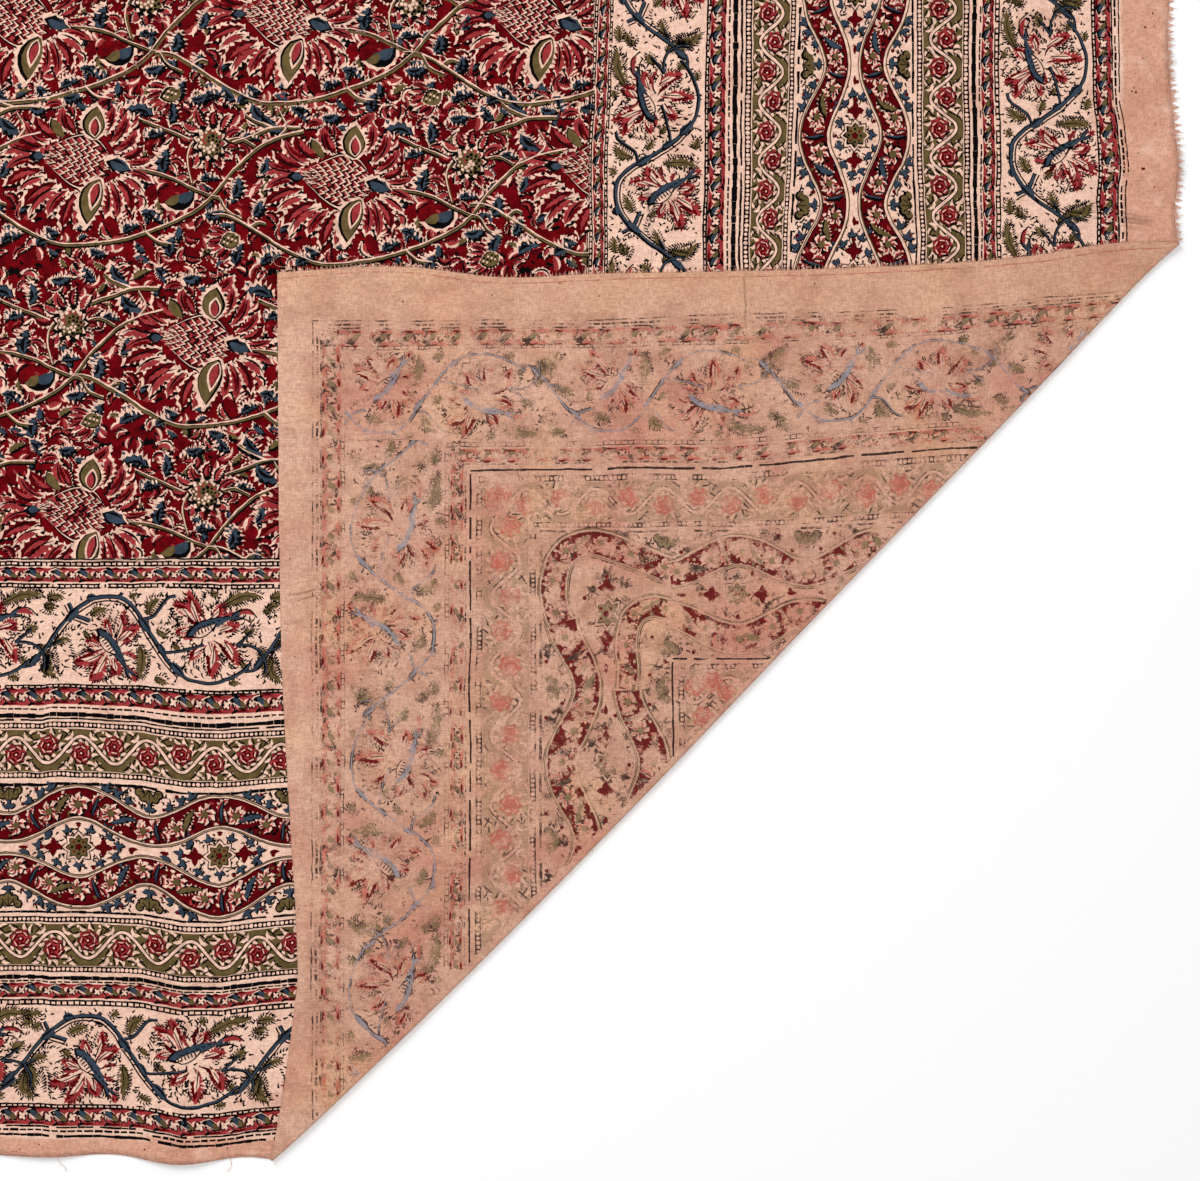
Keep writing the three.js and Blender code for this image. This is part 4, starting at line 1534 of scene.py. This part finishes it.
Span = namedtuple("Span", "low high")
OUTER_GUARD = Span(8.3, 23.2)
OUTER_VINE = Span(26.8, 104.5)
INNER_GUARD = Span(113.6, 125)
OUTER_MEANDER = Span(140.8, 176)
RIBBON_PANEL = Span(187.5, 292)
INNER_MEANDER = Span(303.6, 338)
THIRD_GUARD = Span(358, 371)
INNER_VINE = Span(375.5, 453.5)
LAST_GUARD = Span(459.6, 470.8)


def straight_bands(p, start, roses):
    """The lines, beads, guards and meanders of a border; start(depth) gives both ends of a band, and
    roses the place of one low rose and the way to the next, for each meander."""
    long_line(p, 0, 2.1, *start(0))
    dashes(p, 4.2, 1.7, 5.5, 1.4, *start(4))
    long_line(p, 7.4, 1.5, *start(7), 0.1)
    guard(p, *OUTER_GUARD, *start(8))
    ladder(p, 24.9, *start(25), 2.6, 4.8)
    ladder(p, 110.0, *start(110), 3.6)
    guard(p, *INNER_GUARD, *start(114))
    dashes(p, 127.2, 1.2, 5.0, 1.3, *start(127))
    long_line(p, 131.2, 3.0, *start(131), 0)
    beads(p, 137.8, *start(138))
    meander(p, *OUTER_MEANDER, *start(141), *roses[0])
    beads(p, 179.4, *start(180))
    long_line(p, 185.4, 1.8, *start(185))
    long_line(p, 293.4, 2.2, *start(293))
    beads(p, 300.4, *start(300))
    meander(p, *INNER_MEANDER, *start(304), *roses[1])
    beads(p, 341.4, *start(341))
    long_line(p, 346.4, 1.4, *start(347))
    long_line(p, 350.6, 3.2, *start(350), 0)
    dashes(p, 355.4, 1.2, 5.0, 1.3, *start(355))
    guard(p, *THIRD_GUARD, *start(358))
    ladder(p, 373.2, *start(373), 2.2, 4.8)
    ladder(p, 456.6, *start(457), 2.8, 4.8)
    guard(p, *LAST_GUARD, *start(460))
    ladder(p, 474.6, *start(475), 3.0, 4.8)
    long_line(p, 478.6, 1.3, *start(478))


# Where the blocks were set down

FIELD_BLOCKS = [
    Place(-469.8, 460.7), Place(-254, 460.7), Place(-46.5, 460.7), Place(-637, 340), Place(-422.5, 342.8),
    Place(-205, 327), Place(7.5, 335), Place(-537, 192), Place(-322.9, 192.6), Place(-112, 192),
    Place(-425, 49.8), Place(-211.7, 49.8),
]
DEPTHS = [0, 25.7, 105.4, 127, 138.6, 185, 292.5, 337, 357.7, 376, 454, 479]
RIGHT_DEPTHS = [0, 22.0, 97.5, 115.5, 128.2, 171.6, 263.0, 301.3, 325, 343, 419, 436]
FLAP_FAR_DEPTHS = [0, 23.2, 98.0, 118.0, 132.0, 175.0, 279.5, 322, 342, 360, 430, 450]
FLAP_SIDE_DEPTHS = [0, 26.5, 108.0, 127.0, 139.4, 190.0, 299.0, 345, 366, 384, 462, 487]

Stretch = namedtuple("Stretch", "along depths moves")
NEAR_STRETCH = Stretch(
    [-497, -447, -440, -400, -365, -330, -300, -270, -237],
    [0, 140, 350, 374, 455, 479],
    [
        [1, 1, 0, 0, -1.5, -8.4, -7.5, -3, -1],
        [1, 1, 0, 0, -1.5, -8.0, -8.0, -4, -1],
        [-2, -2, 0, -1.5, -4, -9, -10, -8, -6],
        [-1, -1, 0, -1, -2, -5, -6.4, -5, -4],
        [0, 0, 0, 0, 0, -0.5, -1, -1, -1],
        [0, 0, 0, 0, 0, 0, 0, 0, 0],
    ],
)
RIGHT_STRETCH = Stretch(
    [210, 280, 320, 338, 374, 392, 490],
    [0, 25, 110, 187, 293, 350, 479],
    [
        [6, 6, 5.4, 7.6, 5.0, 0.5, 0],
        [4, 4, 4, 5.5, 3.5, 0.5, 0],
        [1, 1, 1, 2, 1, 0, 0],
        [3.5, 3.5, 2, 1.2, 1, 0.8, 0],
        [-8.5, -8, -6, -4.5, -3.4, -2.5, 0],
        [-3, -3, -2, -1.5, -1, -1, 0],
        [-6, -6, -7, -7, -5, -3.5, 0],
    ],
)
FLAP_FAR_STRETCH = Stretch(
    [-240, 16, 121, 201, 306, 421, 480],
    [0, 131, 187, 293],
    [
        [0, 0, 5, 6.5, 10.5, 22, 27],
        [-3, 0, 1, 8, 17, 24, 27],
        [0, 0, 0, 4, 10, 16, 20],
        [0, 0, 0, 0, 4, 8, 10],
    ],
)


def stretched(stretch, a, c):
    """How far the cloth has moved the print there, from a table over a and c."""
    i = np.interp(c, stretch.depths, np.arange(len(stretch.depths)))
    j = np.interp(a, stretch.along, np.arange(len(stretch.along)))
    i0 = np.minimum(i.astype(int), len(stretch.depths) - 2)
    j0 = np.minimum(j.astype(int), len(stretch.along) - 2)
    ti, tj = i - i0, j - j0
    moves = np.array(stretch.moves, float)
    low = moves[i0, j0] * (1 - tj) + moves[i0, j0 + 1] * tj
    high = moves[i0 + 1, j0] * (1 - tj) + moves[i0 + 1, j0 + 1] * tj
    return low * (1 - ti) + high * ti


def near_way(points):
    a, c = points.T
    return np.stack([a, FACE_LINE.y + c + stretched(NEAR_STRETCH, a, c)], 1)


def right_way(points):
    a, c = points.T
    x = FACE_LINE.x - np.interp(c, DEPTHS, RIGHT_DEPTHS) + stretched(RIGHT_STRETCH, a, c)
    return np.stack([x, a], 1)


def flap_far_way(points):
    a, c = points.T
    y = FLAP_LINE.y - np.interp(c, DEPTHS, FLAP_FAR_DEPTHS) + stretched(FLAP_FAR_STRETCH, a, c)
    return np.stack([a, y], 1)


def flap_side_way(points):
    a, c = points.T
    return np.stack([FLAP_LINE.x + np.interp(c, DEPTHS, FLAP_SIDE_DEPTHS), a], 1)


VineBand = namedtuple("VineBand", "low starts scale window")


def print_bands(p, way, window, reach, roses, vines):
    """One side of the border without its ribbon panel."""
    p.block(way, window)
    straight_bands(p, reach, roses)
    for band in vines:
        for start in band.starts:
            to_plane = lambda points: way(points * (band.scale, 1) + (start, band.low))
            p.block(to_plane, band.window)
            bird_vine(p)


MARGIN_SPOTS = [(468, 454.8, 1.0), (460.7, 400.9, 1.1), (465, 337.5, 1.5), (457, 402, 0.7)]


def specks(p, area, count):
    """Stray dots of ink on bare cloth."""
    for spot in p.random.uniform(*area, (count, 2)):
        ink = ("rose", "black", "madder")[p.random.integers(3)]
        p.disc(ink, 2, spot, p.random.uniform(0.35, 0.8))


FaceInk = namedtuple("FaceInk", "ink hold patch")
FACE_INKS = [
    FaceInk("cream", 0.9, 0.2),
    FaceInk("rose", 0.80, 0.4),
    FaceInk("madder", 0.88, 0.25),
    FaceInk("olive", 0.78, 0.4),
    FaceInk("blue", 0.84, 0.35),
    FaceInk("black", 0.95, 0.35),
]
ReverseInk = namedtuple("ReverseInk", "ink shade hold patch strength")
REVERSE_INKS = [
    ReverseInk("cream", (222, 170, 142), 0.3, 0.1, 0.3),
    ReverseInk("rose", (184, 76, 64), 0.46, 1.1, 0.68),
    ReverseInk("madder", (106, 12, 18), 0.52, 1.7, 0.96),
    ReverseInk("olive", (108, 96, 60), 0.50, 1.0, 0.76),
    ReverseInk("wash", (136, 112, 78), 0.6, 0.7, 0.42),
    ReverseInk("blue", (112, 132, 150), 0.50, 0.8, 0.72),
    ReverseInk("black", (24, 18, 20), 0.38, 1.3, 0.9),
    ReverseInk("line", (22, 18, 22), 0.62, 0.9, 0.95),
]


def face_inks(name):
    """Finishes of the inks on the face. Red ink is darker over the red ground, where it lies twice."""
    dyes = colours()
    dyes["madder"] = tuple(v * 0.62 for v in dyes["madder"])
    return {
        ink: ink_finish(f"{name}_{ink}", dyes[ink], printed_colour, hold, patch)
        for ink, hold, patch in FACE_INKS
    }


def reverse_inks():
    """Finishes of the inks as they show through on the reverse."""
    return {
        ink: ink_finish(f"reverse_{ink}", dye(*shade), back_colour, hold, patch, strength)
        for ink, shade, hold, patch, strength in REVERSE_INKS
    }


def press(impression, name, finishes, sizes):
    """Lays every ink of an impression as a piece of its own."""
    for ink, finish in finishes.items():
        belongs(impression.piece(ink, f"{name}_{ink}", finish, sizes))


def thread_mesh(paths, thick):
    """Closed three-sided threads along paths, an array of threads by points, thinner to their ends."""
    count, steps = paths.shape[:2]
    ahead = np.gradient(paths, axis=1)
    side = np.cross(ahead, (0.0, 0.0, 1.0))
    side /= np.linalg.norm(side, axis=2, keepdims=True)
    up = np.cross(side, ahead / np.linalg.norm(ahead, axis=2, keepdims=True))
    half = np.linspace(0.5, 0.22, steps)[None, :, None] * thick[:, None, None]
    corners = [paths + (side * math.cos(a) + up * math.sin(a)) * half for a in np.radians((90, 210, 330))]
    at = np.arange(count * steps * 3).reshape(count, steps, 3)
    low, high = at[:, :-1], at[:, 1:]
    walls = np.stack([low, high, np.roll(high, -1, 2), np.roll(low, -1, 2)], -1).reshape(-1, 4)
    ends = np.vstack([at[:, 0], at[:, -1, ::-1]])
    return np.stack(corners, 2).reshape(-1, 3), np.vstack([walls[:, :3], walls[:, [0, 2, 3]], ends])


Fray = namedtuple("Fray", "edge flap longer tuft width")
FRAYED = [
    Fray(RIGHT_EDGE, False, 1.3, 6.4, 1.3),
    Fray(RIGHT_EDGE, False, 1.0, 4.6, 1.2),
    Fray(FLAP_RAW_EDGE, True, 0.8, 3.7, 1.0),
]


def fringe(cloth, fray, sizes, random):
    """Paths of the loose threads along a raw edge, which lean together into small tufts."""
    tuft, length = fray.tuft, sizes.length / MM * fray.longer
    line = even(smooth_curve(fray.edge), sizes.spacing / MM)
    ahead, inner = sides(line)
    out = -inner
    count = len(line)
    share = (np.arange(count) * sizes.spacing / MM / tuft + 0.2 * np.sin(np.arange(count) * 0.13)) % 1
    reach = length * (1.0 - 0.62 * np.abs(2 * share - 1)) * random.uniform(0.6, 1.25, count) + 1.8
    t = np.linspace(0, 1, 4)[None, :, None]
    lean = ahead * ((0.5 - share) * tuft * 0.8 + random.normal(0, 0.5, count))[:, None]
    root = line - out * 1.8
    xy = root[:, None] + (out * reach[:, None])[:, None] * t + lean[:, None] * t**1.6
    first, _ = cloth.place(root, fray.flap, -cloth.half)
    below, _ = cloth.place(xy[:, -1], False, 0.3)
    last = below[:, 2] / MM if fray.flap else np.maximum(first[:, 2] / MM * 0.6, 0.3)
    z = (first[:, 2] / MM)[:, None, None] * (1 - t) + last[:, None, None] * t
    return np.dstack([xy, z + random.uniform(-0.1, 0.25, (count, 1, 1)) * t])


STRAY_WIDTH = 1.2
STRAY_THREADS = [
    [(-300, 315), (-298, 306), (-291, 300), (-282, 298)],
    [(-202, 277), (-199, 272), (-193, 273), (-190, 280), (-195, 281)],
    [(-258, 257), (-251, 264), (-243, 262), (-245, 256), (-253, 257), (-255, 264), (-246, 268)],
    [(-434, -481), (-432, -488), (-428, -491), (-427, -495)],
    [(-293, -481), (-290, -488), (-291, -492), (-294, -495)],
]


def stray_thread(cloth, places):
    """The path of a thread that lies loose, in short lengths that follow on one another."""
    line = even(places, 2.0)
    placed, _ = cloth.place(line, False, 0.25)
    strand = np.column_stack([line, placed[:, 2] / MM])
    low, high = strand[:-1], strand[1:]
    return np.stack([low, (low * 2 + high) / 3, (low + high * 2) / 3, high], 1)


FLUFF_WIDTH = 0.4


def fold_fluff(cloth, random, count=170):
    """Paths of the fluff that stands out along the fold."""
    root = cloth.start + cloth.along * random.uniform(8, cloth.fold_length - 8, count)[:, None]
    reached = ((root - cloth.start) @ cloth.along)[:, None]
    root = root - cloth.inward * cloth.bow(np.zeros((count, 1)), reached)
    sideways, outward = random.normal(0, 1.4, count)[:, None], random.uniform(1.4, 3.6, count)[:, None]
    out = cloth.along * sideways - cloth.inward * outward
    t = np.linspace(0, 1, 4)[None, :, None]
    fluff = root[:, None] - cloth.inward * 1.2 + out[:, None] * t
    height = 1.7 + random.uniform(-0.9, 0.6, (count, 1, 1)) - t**2
    return np.dstack([fluff, np.maximum(height, 0.2)])


def thread_finish():
    finish = Finish("loose_threads")
    c = colours()
    shade = finish.cloud(900, 2.0).smooth(0.36, 0.62)
    colour_here = finish.mix(shade, c["margin"], tuple(min(1, v * 1.3) for v in c["back"]))
    return finish.cotton(colour_here, weave_bump(finish))


# Operators: each builds one piece, or one group of like pieces


def belongs(piece):
    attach(piece, BODY)
    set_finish(piece, SLOT)
    return piece


class CLOTH_OT_lay_sheet(bpy.types.Operator):
    """Lay the cotton itself: one closed sheet that turns back over itself along its diagonal"""

    bl_idname = "cloth.lay_sheet"
    bl_label = "Lay the sheet"

    def execute(self, context):
        cloth = LyingCloth(context.scene.cloth_sizes)
        count, across = cloth.middle.shape[:2]
        up = (cloth.middle + cloth.normal * cloth.half).reshape(-1, 3)
        down = (cloth.middle - cloth.normal * cloth.half).reshape(-1, 3)
        at = np.arange(count * across).reshape(count, across)
        a, b, c, d = at[:-1, :-1], at[:-1, 1:], at[1:, 1:], at[1:, :-1]
        printed = np.stack([a, d, c, b], -1).reshape(-1, 4)
        plain = np.stack([a, b, c, d], -1).reshape(-1, 4) + len(up)
        rim = np.concatenate([at[0, :-1], at[:-1, -1], at[-1, :0:-1], at[:0:-1, 0]])
        onward = np.roll(rim, -1)
        wall = np.stack([rim, onward, onward + len(up), rim + len(up)], -1)
        points, faces = np.vstack([up, down]) * MM, np.vstack([printed, plain, wall])
        sheet = new_piece("printed_sheet", points, faces, [face_finish(), back_finish(), under_finish()])
        above = np.arange(count - 1) >= cloth.fold_middle_row
        shown_back = np.repeat(np.where(above, 1, 2), across - 1)
        slots = np.concatenate([0 * shown_back, shown_back, np.zeros(len(wall), int)])
        sheet.data.polygons.foreach_set("material_index", slots.astype(np.int32))
        u = np.tile(np.linspace(0, 1, across), count) * 0.48 + 0.01
        v = np.repeat(cloth.rows - cloth.rows[0], across) / np.ptp(cloth.rows) * 0.98 + 0.01
        share = np.stack([u, v], 1)
        bake_map(sheet, np.vstack([share, share + (0.5, 0)]))
        belongs(sheet)
        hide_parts(NODE)
        return {"FINISHED"}


class CLOTH_OT_print_field(bpy.types.Operator):
    """Stamp the palmettes, vines and leaves of the red field, each ink as one piece"""

    bl_idname = "cloth.print_field"
    bl_label = "Print the field"

    def execute(self, context):
        sizes = context.scene.cloth_sizes
        finishes = face_inks("field")
        p = Impression(LyingCloth(sizes), False, {ink: ink for ink in finishes}, seed=3)
        for at in FIELD_BLOCKS:
            swing, off = p.random.normal(0, 0.006), p.random.normal(0, 0.8, 2)
            spin = np.array([[1, swing], [-swing, 1]])
            edge = FIELD_EDGE.x + FIELD_TILT * (at.y - 290)
            window = ((LEFT_CUT, max(FIELD_EDGE.y, at.y - 82)), (edge, min(FAR_CUT, at.y + 80)))
            p.block(lambda points: points @ spin + at + off, window)
            palmette_block(p)
        press(p, "field", finishes, sizes)
        return {"FINISHED"}


class CLOTH_OT_print_borders(bpy.types.Operator):
    """Stamp the two borders that show on the face, each ink as one piece"""

    bl_idname = "cloth.print_borders"
    bl_label = "Print the borders"

    def execute(self, context):
        sizes = context.scene.cloth_sizes
        finishes = face_inks("border")
        inks = {ink: ink for ink in finishes} | {"vine": "blue", "line": "black"}
        p = Impression(LyingCloth(sizes), False, inks, seed=5)
        near = ((LEFT_CUT, -500), (-205, FIELD_EDGE.y))
        vines = [
            VineBand(OUTER_VINE.low, (-655, -471, -276), 1.06, near),
            VineBand(INNER_VINE.low, (-633, -449.7, -264), 1.0, near),
        ]
        print_bands(p, near_way, near, lambda c: (LEFT_CUT - 4, -208), ((-437, 28.2), (-414, 27.5)), vines)
        p.block(near_way, near)
        ends = (LEFT_CUT - 4, -208)
        Ribbons(*RIBBON_PANEL, 117, -416.7).draw(p, ends, ends, (LEFT_CUT - 60, -190))
        right = ((FIELD_EDGE.x - 4, 200), (500, FAR_CUT))
        vines = [
            VineBand(OUTER_VINE.low, (118, 293, 468), 0.95, right),
            VineBand(INNER_VINE.low, (86, 261, 436), 0.95, right),
        ]
        print_bands(p, right_way, right, lambda c: (214, FAR_CUT + 4), ((445, 24.6), (442, 24.6)), vines)
        p.block(right_way, right)
        ends = (214, FAR_CUT + 4)
        Ribbons(*RIBBON_PANEL, 117, 365).draw(p, ends, ends, (190, FAR_CUT + 60))
        p.block(lambda points: points, ((-497, -490), (497, FAR_CUT)))
        specks(p, ((455, 290), (484, 486)), 14)
        specks(p, ((-490, -480), (-270, -472)), 8)
        for x, y, radius in MARGIN_SPOTS:
            p.disc("madder", 2, (x, y), radius)
        press(p, "border", finishes, sizes)
        return {"FINISHED"}


Corner = namedtuple("Corner", "path half")
RIBBON_CORNERS = [
    Corner([(-16, -40), (-21, -28), (-23, -10), (-18, 11), (-6, 23), (12, 26), (39, 17), (71, 4)], 11.0),
    Corner([(38, -95), (39, -78), (37, -58), (42, -36), (56, -27), (73, -29)], 9.0),
]


class CLOTH_OT_print_reverse(bpy.types.Operator):
    """Show the border's print faintly on the reverse of the turned-back corner"""

    bl_idname = "cloth.print_reverse"
    bl_label = "Print through to the reverse"

    def execute(self, context):
        sizes = context.scene.cloth_sizes
        finishes = reverse_inks()
        inks = {ink: ink for ink in finishes if ink != "blue"} | {"vine": "blue"}
        p = Impression(LyingCloth(sizes), True, inks, seed=7)
        plane = ((-260, -480), (500, 280))
        far = ((FLAP_LINE.x, -480), (500, 260))
        side = ((-260, -480), (500, FLAP_LINE.y))
        vines = [VineBand(OUTER_VINE.low, (-221, -33, 155, 341), 1.0, ((-196, 100), (500, 260)))]
        reach = lambda c: (FLAP_LINE.x + np.interp(c, DEPTHS, FLAP_SIDE_DEPTHS), 480)
        print_bands(p, flap_far_way, far, reach, ((152, 28), (150, 28)), vines)
        vines = [VineBand(OUTER_VINE.low, (84, -109, -302, -490), 1.05, ((-260, -480), (500, 112)))]
        reach = lambda c: (-480, FLAP_LINE.y - np.interp(c + 8, DEPTHS, FLAP_FAR_DEPTHS))
        print_bands(p, flap_side_way, side, reach, ((-46.8, 28.8), (-60, 28.5)), vines)
        p.block(flap_far_way, plane)
        Ribbons(*RIBBON_PANEL, 117, 129.5).draw(p, (71, 480), (74, 480), (60, 500))
        p.block(flap_side_way, plane)
        Ribbons(*RIBBON_PANEL, 126, -32).draw(p, (-480, -95), (-480, -38), (-500, -20))
        p.block(lambda points: points, plane)
        for path, wide in RIBBON_CORNERS:
            line = even(path, 3.0)
            ribbon(p, line, np.full(len(line), wide))
        p.strip("rose", 1, smooth_curve(FLAP_RAW_EDGE) - (0, 4.6), 0.4)
        specks(p, ((-244, -440), (-228, 235)), 16)
        specks(p, ((-240, 216), (380, 244)), 22)
        press(p, "reverse", finishes, sizes)
        return {"FINISHED"}


class CLOTH_OT_fray_edges(bpy.types.Operator):
    """Fray the two raw edges into a fringe of short threads, with fluff on the fold and stray threads"""

    bl_idname = "cloth.fray_edges"
    bl_label = "Fray the edges"

    def execute(self, context):
        sizes = context.scene.fray_sizes
        cloth = LyingCloth(context.scene.cloth_sizes)
        random = np.random.default_rng(17)
        paths = [fringe(cloth, fray, sizes, random) for fray in FRAYED]
        paths += [stray_thread(cloth, places) for places in STRAY_THREADS]
        paths.append(fold_fluff(cloth, random))
        widths = [fray.width for fray in FRAYED] + [STRAY_WIDTH] * len(STRAY_THREADS) + [FLUFF_WIDTH]
        thick = np.concatenate([np.full(len(p), w) for p, w in zip(paths, widths)])
        points, faces = thread_mesh(np.vstack(paths), thick * sizes.thread / MM)
        threads = new_piece("loose_threads", points * MM, faces, [thread_finish()])
        bake_map(threads, (points[:, :2] - THREAD_MAP_CORNER) / MAP_SIDE)
        belongs(threads)
        return {"FINISHED"}


CENTRE = Place(15.8, -12.9)
PHOTO_WIDTH = 996.0
CAMERA_HEIGHT = 2.4
STAGE_PAPER = (0.98, 0.98, 0.98)
STAGE_SKY = 0.47
Lamp = namedtuple("Lamp", "name place turn power width")
STAGE_LIGHTS = [
    Lamp("softbox", (-1.6, 1.9, 2.2), (-48, -34, 0), 60, 1.6),
    Lamp("top_light", (0.3, -0.2, 3.2), (0, 0, 0), 35, 2.6),
]


class CLOTH_OT_stage(bpy.types.Operator):
    """Set the plain pale floor, the soft studio light and the camera straight above the cloth"""

    bl_idname = "cloth.stage"
    bl_label = "Set the stage"

    def execute(self, context):
        scene = context.scene
        bpy.ops.mesh.primitive_plane_add(size=12, location=(0, 0, -0.0004))
        floor = context.object
        floor.name = "floor"
        paper = Finish("floor_paper")
        shader = paper.node(
            "ShaderNodeBsdfPrincipled",
            {},
            {"Base Color": (*STAGE_PAPER, 1), "Roughness": 0.9, "Specular IOR Level": 0.1},
        )
        paper.tree.links.new(shader.socket, paper.output.inputs["Surface"])
        floor.data.materials.append(paper.material)
        for name, place, turn, power, width in STAGE_LIGHTS:
            bpy.ops.object.light_add(type="AREA", location=place, rotation=[math.radians(a) for a in turn])
            lamp = context.object
            lamp.name = name
            lamp.data.energy, lamp.data.size = power, width
        world = bpy.data.worlds.new("studio")
        world.use_nodes = True
        sky = world.node_tree.nodes["Background"]
        sky.inputs["Color"].default_value = (1, 1, 1, 1)
        sky.inputs["Strength"].default_value = STAGE_SKY
        scene.world = world
        bpy.ops.object.camera_add(location=(CENTRE.x * MM, CENTRE.y * MM, CAMERA_HEIGHT), rotation=(0, 0, 0))
        camera = context.object
        camera.data.sensor_width = 36
        camera.data.lens = 36 * CAMERA_HEIGHT / (PHOTO_WIDTH * MM)
        camera.data.dof.use_dof = False
        camera.data.clip_end = 50
        scene.camera = camera
        scene.view_settings.view_transform = "Standard"
        return {"FINISHED"}


class CLOTH_PT_panel(bpy.types.Panel):
    """Steps of the cloth, in order"""

    bl_idname = "CLOTH_PT_panel"
    bl_label = "Block-printed cloth"
    bl_space_type = "VIEW_3D"
    bl_region_type = "UI"
    bl_category = "Cloth"

    def draw(self, context):
        scene = context.scene
        for group in (scene.cloth_sizes, scene.fray_sizes, scene.cloth_dyes):
            box = self.layout.box()
            for name in group.__annotations__:
                box.prop(group, name)
        for step in STEPS:
            self.layout.operator(step.bl_idname)


STEPS = (
    CLOTH_OT_lay_sheet,
    CLOTH_OT_print_field,
    CLOTH_OT_print_borders,
    CLOTH_OT_print_reverse,
    CLOTH_OT_fray_edges,
    CLOTH_OT_stage,
)
GROUPS = {"cloth_sizes": ClothSizes, "fray_sizes": FraySizes, "cloth_dyes": Dyes}


def register():
    for group in GROUPS.values():
        bpy.utils.register_class(group)
    for name, group in GROUPS.items():
        setattr(bpy.types.Scene, name, bpy.props.PointerProperty(type=group))
    for step in STEPS:
        bpy.utils.register_class(step)
    bpy.utils.register_class(CLOTH_PT_panel)


def unregister():
    bpy.utils.unregister_class(CLOTH_PT_panel)
    for step in reversed(STEPS):
        bpy.utils.unregister_class(step)
    for name, group in GROUPS.items():
        delattr(bpy.types.Scene, name)
        bpy.utils.unregister_class(group)


def main():
    register()
    bpy.ops.object.select_all(action="DESELECT")
    bpy.ops.cloth.lay_sheet()
    bpy.ops.cloth.print_field()
    bpy.ops.cloth.print_borders()
    bpy.ops.cloth.print_reverse()
    bpy.ops.cloth.fray_edges()
    sheet = bpy.data.objects["printed_sheet"]
    on_it = [o for o in bpy.data.objects if o.get("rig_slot") == SLOT and o is not sheet]
    bpy.ops.cloth.stage()


if __name__ == "__main__":
    main()
